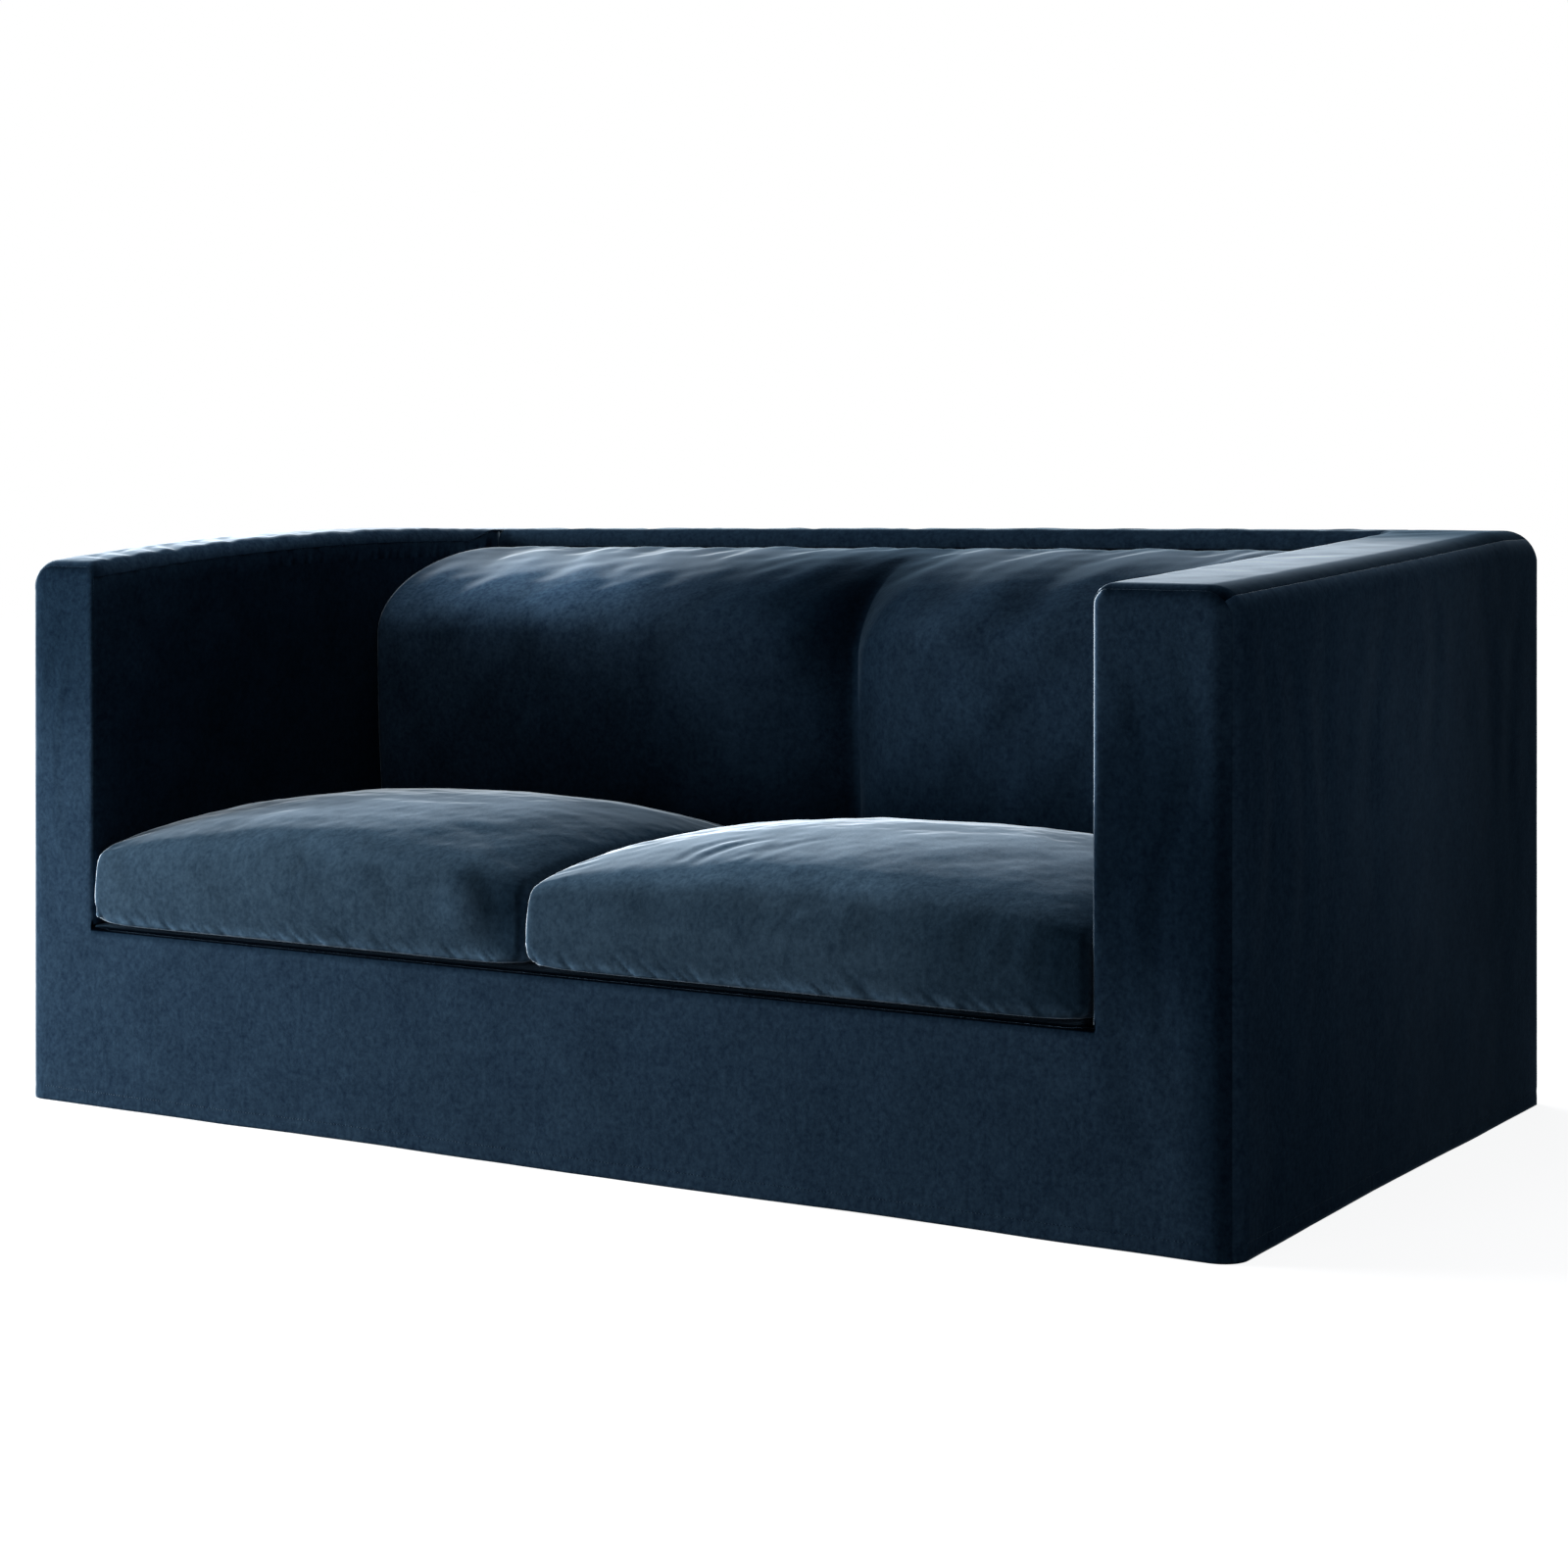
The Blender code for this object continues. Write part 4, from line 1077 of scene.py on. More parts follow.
def arm_top_points(side, across, y, sizes):
    """Top of an arm. across is the distance over the top from the outer edge, then down."""
    name = "arm_top_" + side
    thick = ARM_THICKNESS[side]
    top = arm_height(side, y)
    in_front, from_end, corner, edge = by_end(y)
    roll = arm_roll(y)
    from_inner = np.maximum(thick + ARM_INNER_EDGE * roll - across, 0.0)
    away = np.minimum(np.minimum(across, from_end) + SEAM_EASE, from_inner)
    clear = smoothstep(0.0, SEAM_CLEAR, np.minimum(np.minimum(across, from_end), away))
    along = y - FRONT
    relief = own_relief(name, across, y, clear)
    relief = relief + puckers("arm_outer_" + side, along, across, DEPTH, sizes)
    from_inner = np.maximum(thick + ARM_INNER_EDGE - across, 0.0)
    relief = relief + roll * puckers("arm_inner_" + side, along, from_inner, DEPTH, sizes)
    relief = relief + puckers("arm_end_" + side, across, from_end, thick, sizes)
    depth = relief + seam_turn(away, ARM_SEAM_SHARE * sizes.seam_depth)

    at_top = np.zeros_like(across)
    radius = corner_blend(across, at_top, OUTER_EDGE, corner, edge)
    along_outer, inset = bend(from_end, radius, depth)
    outer_x, outer_drop = outline_point(side, across, at_top, inset)

    a = np.maximum(thick - across, 0.0)
    b = np.maximum(across - thick, 0.0)
    inner_radius = corner_blend(a, b, ARM_INNER_EDGE, OPENING_EDGE, FRONT_TOP_EDGE)
    along_inner, inset = bend(from_end, np.where(in_front, inner_radius, edge), depth)
    rolled = round_corner(a, b, ARM_INNER_EDGE, inset)
    level = (ARM_INNER_EDGE + a - b) / 2 * (1 - GAP / ARM_INNER_EDGE) + GAP / 2
    inner_x = INNER_X[side] + OUTWARD[side] * (roll * rolled[0] + (1 - roll) * level)
    inner_drop = -(roll * rolled[1] + (1 - roll) * inset)

    on_outer = across <= thick - ARM_INNER_EDGE
    along = np.where(on_outer, along_outer, along_inner)
    points = stack(
        np.where(on_outer, outer_x, inner_x),
        np.where(in_front, FRONT + along, BACK - along),
        top + np.where(on_outer, outer_drop, inner_drop),
    )
    # Painted light and shade: the listed patches, painted shade at the ends, and on the right arm a
    # painted highlight along the inner edge and painted shade along the outer edge.
    nap = patches(PAINTED_LIGHT[name], across, y) + painted_edge_light(ARM_END_SHADE, from_end)
    if side == "right":
        fade = 1 - smoothstep(*RIGHT_INNER_FADE, y)
        nap = nap + painted_edge_light(RIGHT_INNER_HIGHLIGHT, across - thick) * fade
        nap = nap + painted_edge_light(RIGHT_OUTER_SHADE, across)
    return points, relief, away, nap


def back_top_points(x, across, sizes):
    """Top of the back. across is the distance over the top from the rear edge, then down."""
    top = back_height(x)
    from_arm = from_arms(x)
    away = np.minimum(np.minimum(across + SEAM_EASE, BAND_END - across), from_arm + 0.004)
    along = x - INNER_X["left"]
    relief = own_relief("back_top", x, across, smoothstep(0.0, 0.015, from_arm))
    relief = relief + puckers("back_rear", along, across, BETWEEN_ARMS, sizes)
    relief = relief + puckers("band", along, BAND_END - across, BETWEEN_ARMS, sizes)
    clear = smoothstep(0.0, 0.01, from_arm)
    depth = clear * relief + seam_turn(away, sizes.seam_depth)
    back_along, inset = bend(across, OUTER_EDGE, depth)
    a = np.maximum(BACK_TOP_DEPTH - across, 0.0)
    b = np.maximum(across - BACK_TOP_DEPTH, 0.0)
    band_along, down = round_corner(a, b, BAND_EDGE, depth)
    at_back = across <= BACK_TOP_DEPTH - BAND_EDGE
    y = np.where(at_back, BACK - back_along, BAND_Y + band_along)
    z = top - np.where(at_back, inset, down)
    # Painted shade from the listed patches.
    return stack(x, y, z), relief, away, patches(PAINTED_LIGHT["back_top"], x, across)


def pad_size(x):
    """How far the padding stands in front of the band at x, and the height of its shoulder."""
    valley = (INNER_X["left"] + INNER_X["right"]) / 2 + VALLEY_SHIFT
    arm = np.where(x < valley, INNER_X["left"], INNER_X["right"])
    from_centre = 2 * (x - (arm + valley) / 2) / (valley - arm)
    end = np.abs(from_centre) ** LOBE_POWER
    drop = np.where(from_centre > 0, VALLEY_DROP, LOBE_END_DROP)
    return PAD_REACH * (1 - drop * end), PAD_SHOULDER * (1 + drop * end)


def pad_crease(x, t):
    """Depth of the main creases. They start at the band and fade out on the padding's front."""
    depth = 0.0
    for place, width, crease, shift in PAD_CREASES:
        depth = depth + crease * falloff(x - place - shift * t, width)
    depth = depth * smoothstep(0.0, CREASE_CLEAR, from_arms(x))
    return depth * smoothstep(0.0, CREASE_START, t) * (1 - smoothstep(*CREASE_FADE, t))


def pad_point(x, t):
    """The padded face at x: t from 0 at the band to 1 in front, then to 2 at the seat."""
    reach, shoulder = pad_size(x)
    band = back_height(x) - BAND_DROP
    turn = math.radians(90) * np.minimum(t, 1.0)
    down = np.maximum(t - 1.0, 0.0)
    y = BAND_Y - GAP - reach * np.sin(turn) + PAD_TUCK * down * down
    z = band - shoulder * (1 - np.cos(turn)) + (FOOT - band + shoulder) * down
    return stack(x, y, z)


def inside_back_points(x, t, sizes):
    """Padded inside back, from the band to the seat."""
    step = 1e-4
    across = pad_point(x + step, t) - pad_point(x - step, t)
    down = pad_point(x, np.minimum(t + step, 2.0)) - pad_point(x, np.maximum(t - step, 0.0))
    behind = np.cross(across, down)
    behind[..., 0] = 0.0
    behind /= np.linalg.norm(behind, axis=-1, keepdims=True)
    along = PAD_TURN * t
    from_arm = from_arms(x)
    clear = smoothstep(0.0, CREASE_CLEAR, from_arm)
    relief = clear * MAIN_CREASE_SHARE * pad_crease(x, t)
    relief = relief + own_relief("inside_back", x, along, clear, PAD_CREASE_SHARE)
    relief = relief + puckers("padding", x - INNER_X["left"], along, BETWEEN_ARMS, sizes)
    relief = relief * (1 - 0.8 * smoothstep(1.75, 2.0, t))
    away = np.minimum(along, from_arm)
    depth = relief + seam_turn(away, PAD_SEAM_SHARE * sizes.seam_depth)
    # Painted light and shade from the listed patches.
    nap = patches(PAINTED_LIGHT["inside_back"], x, t)
    return pad_point(x, t) + behind * depth[..., None], relief, away, nap


def inside_arm_points(side, share, t, sizes):
    """Inside of an arm. share runs from the front to the padded face, t as on the padding."""
    x = INNER_X[side]
    name = "inside_arm_" + side
    pad = pad_point(np.full_like(t, x), np.maximum(t, 0.0))
    full = pad[..., 1] + ARM_LAP - FRONT - OPENING_EDGE
    along = OPENING_EDGE + np.where(share < 0, OPENING_EDGE, full) * share
    level = np.where(t < 0, 1.0, (pad[..., 2] - FOOT) / (arm_seam(side, BAND_Y) - FOOT))
    flat_y = FRONT + along
    height = FOOT + level * (arm_seam(side, flat_y) - FOOT)
    below = arm_seam(side, flat_y) - height
    clear = smoothstep(0.0, 0.02, along) * smoothstep(0.0, 0.02, below)
    relief = own_relief(name, flat_y, height, clear)
    relief = relief + puckers(name, along, below, INSIDE_ARM_LENGTH, sizes)
    away = np.minimum(along, below)
    from_front, inset = bend(along, OPENING_EDGE, relief + seam_turn(away, sizes.seam_depth))
    y = FRONT + from_front
    z = FOOT + level * (arm_seam(side, y) - FOOT)
    # Painted shade from the listed patches.
    nap = patches(PAINTED_LIGHT[name], flat_y, height)
    return stack(x + OUTWARD[side] * inset, y, z), relief, away, nap


def deck_points(x, from_front):
    """Cloth under the cushions."""
    relief = own_relief("seat_deck", x, from_front, smoothstep(0.01, 0.05, from_front))
    lip = LIP_TURN * smoothstep(*LIP_FADE, from_arms(x)) * falloff(from_front, DECK_LIP_DEPTH)
    along, down = bend(from_front, OPENING_EDGE, np.maximum(relief, 0.0) + lip)
    # The deck lies in painted shadow under the cushions.
    return stack(x, FRONT + along, RAIL_HEIGHT - down), relief, from_front, DECK_SHADOW


def write_fields(mesh, **fields):
    """Give every point of the mesh the values that the velvet reads."""
    for name, values in fields.items():
        field = mesh.attributes.new(name, "FLOAT", "POINT")
        field.data.foreach_set("value", np.full(len(mesh.vertices), values, np.float32))


def raised(relief):
    """How far a point stands above the smooth form, from -1 to 1."""
    return np.clip(-relief / FULL_RELIEF, -1, 1)


def link(name, data):
    obj = bpy.data.objects.new(name, data)
    bpy.context.scene.collection.objects.link(obj)
    return obj


def cloth_panel(name, surface, sizes, finish, wanted=None, flip=False):
    """A panel from its grid of points, with the cloth's thickness behind it."""
    points, *fields = surface
    grid = points.shape[:2]
    index = np.arange(grid[0] * grid[1]).reshape(grid)
    quads = np.stack([index[:-1, :-1], index[1:, :-1], index[1:, 1:], index[:-1, 1:]], -1)
    quads = quads.reshape(-1, 4) if wanted is None else quads[wanted]
    if flip:
        quads = quads[:, ::-1]
    used, quads = np.unique(quads, return_inverse=True)
    mesh = bpy.data.meshes.new(name)
    flat = points.reshape(-1, 3)[used]
    mesh.from_pydata(flat.tolist(), [], quads.reshape(-1, 4).tolist())
    relief, away, nap = (np.broadcast_to(field, grid).ravel()[used] for field in fields)
    # Fields for the velvet: relief and seam give painted highlight on ridges and painted shade in
    # creases and at seams, and the stops give painted light and shade.
    write_fields(mesh, relief=raised(relief), seam=falloff(away, SEAM_SHADE), nap=nap)
    mesh.materials.append(finish)
    mesh.shade_smooth()
    obj = link("cloth_" + name, mesh)
    thickness = obj.modifiers.new("thickness", "SOLIDIFY")
    thickness.thickness = sizes.cloth_thickness
    thickness.offset = -1.0
    thickness.use_even_offset = False
    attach(obj, "root")
    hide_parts(name)
    return obj


def node_group(name, kind, inputs, outputs):
    """A node group with its sockets, each a name, a type and maybe a value, and its inputs."""
    tree = bpy.data.node_groups.new(name, kind)
    for way, sockets in (("INPUT", inputs), ("OUTPUT", outputs)):
        for label, socket, *value in sockets:
            item = tree.interface.new_socket(label, in_out=way, socket_type="NodeSocket" + socket)
            if value:
                item.default_value = value[0]
    return tree, add(tree, "NodeGroupInput").outputs


def add(tree, kind, inputs=None, **settings):
    """A node with its settings, and its inputs set or joined."""
    node = tree.nodes.new(kind)
    for key, value in settings.items():
        setattr(node, key, value)
    for key, value in (inputs or {}).items():
        if isinstance(value, bpy.types.NodeSocket):
            tree.links.new(value, node.inputs[key])
        else:
            node.inputs[key].default_value = value
    return node


def shader_math(tree, operation, first, second):
    return add(tree, "ShaderNodeMath", {0: first, 1: second}, operation=operation).outputs[0]


def weighted_sum(tree, parts):
    """The sum of the values, each times its weight."""
    total, *terms = [shader_math(tree, "MULTIPLY", value, weight) for value, weight in parts]
    for term in terms:
        total = shader_math(tree, "ADD", total, term)
    return total


def blend(tree, share, first, second):
    """The first colour, and the second one where share is 1."""
    inputs = {"Factor": share, "A": first, "B": second}
    return add(tree, "ShaderNodeMix", inputs, data_type="RGBA").outputs["Result"]


def map_range(tree, value, given, wanted=(0.0, 1.0), kind="LINEAR"):
    """The value carried from the given range to the wanted one."""
    ends = dict(zip(("From Min", "From Max", "To Min", "To Max"), (*given, *wanted)))
    inputs = {"Value": value, **ends}
    return add(tree, "ShaderNodeMapRange", inputs, interpolation_type=kind).outputs[0]


def noise(tree, vector, scale, detail, **more):
    inputs = {"Vector": vector, "Scale": scale, "Detail": detail, **more}
    return add(tree, "ShaderNodeTexNoise", inputs).outputs[0]


def velvet_nap_group():
    """Mottled nap: cloudy patches, streaks along the pile and a fine grain."""
    inputs = (
        ("Vector", "Vector"),
        ("Shade", "Color", (0.01, 0.02, 0.04, 1)),
        ("Light", "Color", (0.02, 0.04, 0.07, 1)),
        ("Patches", "Float", 8.0),
        ("Grain", "Float", GRAIN_SCALE),
    )
    outputs = (("Color", "Color"), ("Roughness", "Float"), ("Height", "Float"))
    tree, source = node_group("Velvet nap", "ShaderNodeTree", inputs, outputs)
    place = source["Vector"]
    stretched = add(tree, "ShaderNodeMapping", {"Vector": place, "Scale": STREAK_SCALE})
    layers = (
        (noise(tree, place, source["Patches"], 3.0, Distortion=0.7), CLOUDY),
        (noise(tree, stretched.outputs[0], 1.0, 2.0, Distortion=0.4), STREAKS),
        (noise(tree, place, source["Grain"], 2.0, Roughness=0.6), GRAIN),
    )
    parts = [(map_range(tree, value, band), share) for value, (share, band) in layers]
    share = weighted_sum(tree, parts)
    _, (streaks, _), (grain, _) = parts
    pile = noise(tree, place, PILE_SCALE, 1.0)
    results = {
        "Color": blend(tree, share, source["Shade"], source["Light"]),
        "Roughness": map_range(tree, share, (0.0, 1.0), ROUGHNESS),
        "Height": weighted_sum(tree, ((grain, 0.55), (streaks, 0.30), (pile, 0.15))),
    }
    add(tree, "NodeGroupOutput", results)
    return tree


def painted_light_group():
    """Painted highlight on ridges, painted shade in creases and seams, and the stops' light and
    shade.
    """
    inputs = (
        ("Color", "Color", (0.02, 0.04, 0.06, 1)),
        ("Relief", "Float", 0.0),
        ("Seam", "Float", 0.0),
        ("Nap", "Float", 0.0),
        ("Strength", "Float", 0.35),
        ("Edge", "Color", (0.8, 0.9, 1.0, 1)),
    )
    outputs = (("Color", "Color"),)
    tree, source = node_group("Brushed nap", "ShaderNodeTree", inputs, outputs)
    lift = shader_math(tree, "MULTIPLY", source["Relief"], source["Strength"])
    dark = shader_math(tree, "MULTIPLY", source["Seam"], SEAM_DARKENING)
    seam_shaded = shader_math(tree, "SUBTRACT", 1.0, dark)
    gain = shader_math(tree, "MULTIPLY", shader_math(tree, "ADD", 1.0, lift), seam_shaded)
    gains = []
    for choice, *shares in PAINTED_LIGHT_TONES:
        stops = [shader_math(tree, "MULTIPLY", source["Nap"], share) for share in shares]
        gains.append(shader_math(tree, "POWER", 2.0, shader_math(tree, choice, *stops)))
    tones = add(tree, "ShaderNodeCombineXYZ", dict(enumerate(gains))).outputs[0]
    toned = {0: source["Color"], 1: tones}
    toned = add(tree, "ShaderNodeVectorMath", toned, operation="MULTIPLY").outputs[0]
    shaded = add(tree, "ShaderNodeVectorMath", {0: toned, "Scale": gain}, operation="SCALE")
    highlight_line = map_range(tree, source["Nap"], HIGHLIGHT_LINE_STOPS, (0.0, HIGHLIGHT_LINE_SHARE), "SMOOTHSTEP")
    lined = blend(tree, highlight_line, shaded.outputs[0], source["Edge"])
    add(tree, "NodeGroupOutput", {"Color": lined})
    return tree


def shared_group(name, make):
    return bpy.data.node_groups.get(name) or make()


def velvet(name, shade, light, finish, patch_scale, relief_share):
    """Velvet with the shared nap, its painted sheen and highlight, and painted light and shade."""
    found = bpy.data.materials.get(name)
    if found:
        return found
    material = bpy.data.materials.new(name)
    material.use_nodes = True
    tree = material.node_tree
    shader = tree.nodes["Principled BSDF"]
    painted_highlight_colour = (*finish.painted_highlight_colour, 1)

    inputs = {
        "Vector": add(tree, "ShaderNodeTexCoord").outputs["Object"],
        "Shade": (*shade, 1),
        "Light": (*light, 1),
        "Patches": patch_scale,
    }
    group = shared_group("Velvet nap", velvet_nap_group)
    nap = add(tree, "ShaderNodeGroup", inputs, node_tree=group).outputs

    # Painted sheen where the velvet turns away from the eye, and a near-white painted highlight at
    # its outline.
    facing = add(tree, "ShaderNodeLayerWeight", {"Blend": 0.5}).outputs["Facing"]
    turned = map_range(tree, facing, PAINTED_SHEEN_FACING, (0.0, finish.rim), "SMOOTHSTEP")
    outline = map_range(tree, facing, OUTLINE_HIGHLIGHT_FACING, kind="SMOOTHSTEP")
    with_painted_sheen = blend(tree, turned, nap["Color"], (*finish.painted_sheen_colour, 1))
    inputs = {
        "Color": blend(tree, outline, with_painted_sheen, painted_highlight_colour),
        "Strength": relief_share,
        "Edge": painted_highlight_colour,
    }
    # The relief, the seam and the stops give painted highlight on ridges, painted shade in creases
    # and at seams, and the painted light and shade of patches and edges.
    for field in ("relief", "seam", "nap"):
        value = add(tree, "ShaderNodeAttribute", attribute_name=field)
        inputs[field.capitalize()] = value.outputs["Fac"]
    group = shared_group("Brushed nap", painted_light_group)
    with_painted_light = add(tree, "ShaderNodeGroup", inputs, node_tree=group).outputs

    bump = add(tree, "ShaderNodeBump", {**BUMP, "Height": nap["Height"]})
    tree.links.new(with_painted_light["Color"], shader.inputs["Base Color"])
    tree.links.new(nap["Roughness"], shader.inputs["Roughness"])
    tree.links.new(bump.outputs["Normal"], shader.inputs["Normal"])
    shader.inputs["Specular IOR Level"].default_value = 0.0
    shader.inputs["Sheen Weight"].default_value = finish.sheen
    shader.inputs["Sheen Roughness"].default_value = finish.sheen_roughness
    shader.inputs["Sheen Tint"].default_value = (*finish.sheen_tint, 1)
    material.diffuse_color = (*light, 1)
    return material


def cover_velvet(scene):
    finish = scene.cover_velvet
    return velvet("Slate velvet", finish.shade, finish.lit, finish, 13.0, 0.30)


def cushion_velvet(scene):
    finish = scene.cover_velvet
    # The cover's velvet made lighter, as painted light on the cushions.
    return velvet("Cushion velvet", finish.cushion_shade, finish.cushion_lit, finish, 15.0, 0.45)


def group_input(tree, name):
    """The identifier by which a modifier sets one of the tree's inputs."""
    for item in tree.interface.items_tree:
        if item.item_type == "SOCKET" and item.in_out == "INPUT" and item.name == name:
            return item.identifier
    raise RuntimeError("The node tree " + tree.name + " has no input " + name)


def stitches_tree():
    """Even stitches laid end to end along a path."""
    inputs = (
        ("Geometry", "Geometry"),
        ("Pitch", "Float", 0.0044),
        ("Length", "Float", 0.0032),
        ("Thread radius", "Float", 0.00035),
        ("Material", "Material"),
    )
    outputs = (("Geometry", "Geometry"),)
    tree, source = node_group("Stitches along a path", "GeometryNodeTree", inputs, outputs)
    curve = add(tree, "GeometryNodeMeshToCurve", {"Mesh": source["Geometry"]}).outputs[0]
    inputs = {"Curve": curve, "Length": source["Pitch"]}
    points = add(tree, "GeometryNodeResampleCurve", inputs, mode="LENGTH").outputs[0]
    inputs = {"Vertices": 6, "Radius": source["Thread radius"], "Depth": source["Length"]}
    stitch = add(tree, "GeometryNodeMeshCylinder", inputs, fill_type="NGON").outputs[0]
    tangent = add(tree, "GeometryNodeInputTangent").outputs[0]
    turn = add(tree, "FunctionNodeAlignRotationToVector", {"Vector": tangent}, axis="Z").outputs[0]
    inputs = {"Points": points, "Instance": stitch, "Rotation": turn}
    placed = add(tree, "GeometryNodeInstanceOnPoints", inputs).outputs[0]
    smooth = add(tree, "GeometryNodeSetShadeSmooth", {0: placed}).outputs[0]
    real = add(tree, "GeometryNodeRealizeInstances", {0: smooth}).outputs[0]
    inputs = {"Geometry": real, "Material": source["Material"]}
    done = add(tree, "GeometryNodeSetMaterial", inputs).outputs[0]
    add(tree, "NodeGroupOutput", {0: done})
    return tree


def sew_along(name, points, sizes, finish):
    """Stitches along a path, kept as a plain mesh."""
    tree = shared_group("Stitches along a path", stitches_tree)
    values = {
        "Pitch": sizes.stitch_pitch,
        "Length": sizes.stitch_length,
        "Thread radius": sizes.thread_radius,
        "Material": finish,
    }
    mesh = bpy.data.meshes.new(name + "_path")
    mesh.from_pydata(points.tolist(), [(n, n + 1) for n in range(len(points) - 1)], [])
    path = link(name + "_path", mesh)
    modifier = path.modifiers.new("stitches", "NODES")
    modifier.node_group = tree
    for label, value in values.items():
        modifier[group_input(tree, label)] = value
    graph = bpy.context.evaluated_depsgraph_get()
    sewn = bpy.data.meshes.new_from_object(path.evaluated_get(graph))
    sewn.name = name
    path.modifiers.clear()
    bpy.data.objects.remove(path)
    # The stitches' own darker tone, and a slight painted highlight from their raised relief.
    write_fields(sewn, relief=STITCH_RELIEF, seam=0.0, nap=STITCH_NAP)
    obj = link(name, sewn)
    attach(obj, "root")
    return obj


def cushion_box(side):
    """The cushion's centre on the seat, and half of its sides."""
    at_arm = INNER_X[side] - OUTWARD[side] * CUSHION_SIDE_GAP
    at_split = CUSHION_SPLIT_X + OUTWARD[side] * CUSHION_SIDE_GAP / 2
    front = FRONT + CUSHION_FRONT_INSET
    rear = BAND_Y - PAD_REACH - CUSHION_BACK_GAP
    centre = np.array([(at_arm + at_split) / 2, (front + rear) / 2, FOOT])
    half = np.array([abs(at_arm - at_split) / 2, (rear - front) / 2, CUSHION_SIDE_HEIGHT / 2])
    return centre, half


def cushion_form(side, sharp):
    """Carry points of a sharp box to the cushion's crowned form, centred on the cushion."""
    centre, half = cushion_box(side)
    share = smoothstep(*TOP_ROUND_FADE, sharp[..., 2:] / half[2])
    radius = CUSHION_ROUND + (CUSHION_TOP_ROUND - CUSHION_ROUND) * share
    core = np.clip(sharp, radius - half, half - radius)
    away = (sharp - core) / radius
    point = core + radius * away / np.maximum(np.linalg.norm(away, axis=-1, keepdims=True), 1e-9)
    level = (point[..., 2] + half[2]) / (2 * half[2])
    u, v = point[..., 0] / half[0], point[..., 1] / half[1]
    ridge_u = 1 - np.minimum(np.abs(u), 1.0) ** CROWN_POWER
    ridge_v = 1 - np.minimum(np.abs(v), 1.0) ** CROWN_POWER
    belly = 4 * level * (1 - level)
    side_swell = CUSHION_SIDE_SWELL * belly - CUSHION_DRAW_IN
    front_swell = CUSHION_FRONT_SWELL * belly - CUSHION_DRAW_IN
    x = point[..., 0] + u * np.abs(u) ** 3 * ridge_v * side_swell
    y = point[..., 1] + v * np.abs(v) ** 3 * ridge_u * front_swell
    crown = RIDGE_RISE * (ridge_u + ridge_v) + CROWN_RISE * ridge_u * ridge_v
    corner = CUSHION_CORNER_LIFT * np.abs(u * v) ** CUSHION_CORNER_POWER
    z = point[..., 2] + half[2] + level * crown + (1 - level) * corner
    if side == "left":
        in_end = 1 - np.minimum(np.abs(u), 1.0) ** 8
        z = z + LEFT_FULLNESS * level * smoothstep(0.0, 0.75, u) * in_end * ridge_v
    return stack(x, y, z) + centre


def cushion_seam(side):
    """The seam round the cushion's underside, every few millimetres."""
    _, half = cushion_box(side)
    inner = half[:2] - CUSHION_ROUND[:2]
    corners = []
    for sx, sy, first in ((1, 1, 0), (-1, 1, 90), (-1, -1, 180), (1, -1, 270)):
        for angle in np.radians(np.linspace(first, first + 90, 7)):
            turn = CUSHION_ROUND[:2] * (math.cos(angle), math.sin(angle))
            corners.append((sx, sy) * inner + turn)
    outline = np.array(corners + corners[:1])
    lengths = np.linalg.norm(np.diff(outline, axis=0), axis=1)
    travelled = np.concatenate([[0], np.cumsum(lengths)])
    even = np.linspace(0, travelled[-1], int(travelled[-1] / SEAM_STEP), endpoint=False)
    xy = [np.interp(even, travelled, outline[:, n]) for n in range(2)]
    return cushion_form(side, stack(*xy, -half[2]))


def cushion_start(side, inset):
    """A fine box lattice on the cushion's form, a little smaller between the seams."""
    _, half = cushion_box(side)
    counts = [max(3, round(2 * h / CUSHION_LATTICE)) for h in half]
    number, faces, sharp = {}, [], []
    for axis in range(3):
        first, second = [n for n in range(3) if n != axis]
        for at in (0, counts[axis]):
            for p in range(counts[first]):
                for q in range(counts[second]):
                    face = []
                    for dp, dq in ((0, 0), (1, 0), (1, 1), (0, 1)):
                        key = [0, 0, 0]
                        key[axis], key[first], key[second] = at, p + dp, q + dq
                        key = tuple(key)
                        if key not in number:
                            number[key] = len(sharp)
                            sharp.append([-h + 2 * h * k / n for h, k, n in zip(half, key, counts)])
                        face.append(number[key])
                    faces.append(face if (at > 0) == (axis != 1) else face[::-1])
    sharp = np.array(sharp)
    share = np.abs(sharp) / half
    points = cushion_form(side, sharp)
    between = 1 - share[:, 0] ** 6
    on_top = (sharp[:, 2] / half[2] > ON_FACE) * between * (1 - share[:, 1] ** 6)
    on_front = (share[:, 1] > ON_FACE) * between * (1 - share[:, 2] ** 2)
    points[:, 2] -= inset * on_top
    points[:, 1] -= np.sign(sharp[:, 1]) * FRONT_INSET_SHARE * inset * on_front
    mesh = bpy.data.meshes.new("cushion_start")
    mesh.from_pydata(points.tolist(), [], faces)
    return link("cushion_start", mesh)


def per_point(mesh, key):
    """Three values for each point of the mesh, such as its place."""
    flat = np.empty(len(mesh.vertices) * 3, np.float32)
    mesh.vertices.foreach_get(key, flat)
    return flat.reshape(-1, 3).astype(float)


def baked(obj):
    """The object's evaluated mesh as a new mesh, its modifiers removed."""
    graph = bpy.context.evaluated_depsgraph_get()
    mesh = bpy.data.meshes.new_from_object(obj.evaluated_get(graph))
    obj.modifiers.clear()
    obj.data = mesh
    return mesh


def point_tree(points):
    tree = KDTree(len(points))
    for n, point in enumerate(points):
        tree.insert(point, n)
    tree.balance()
    return tree


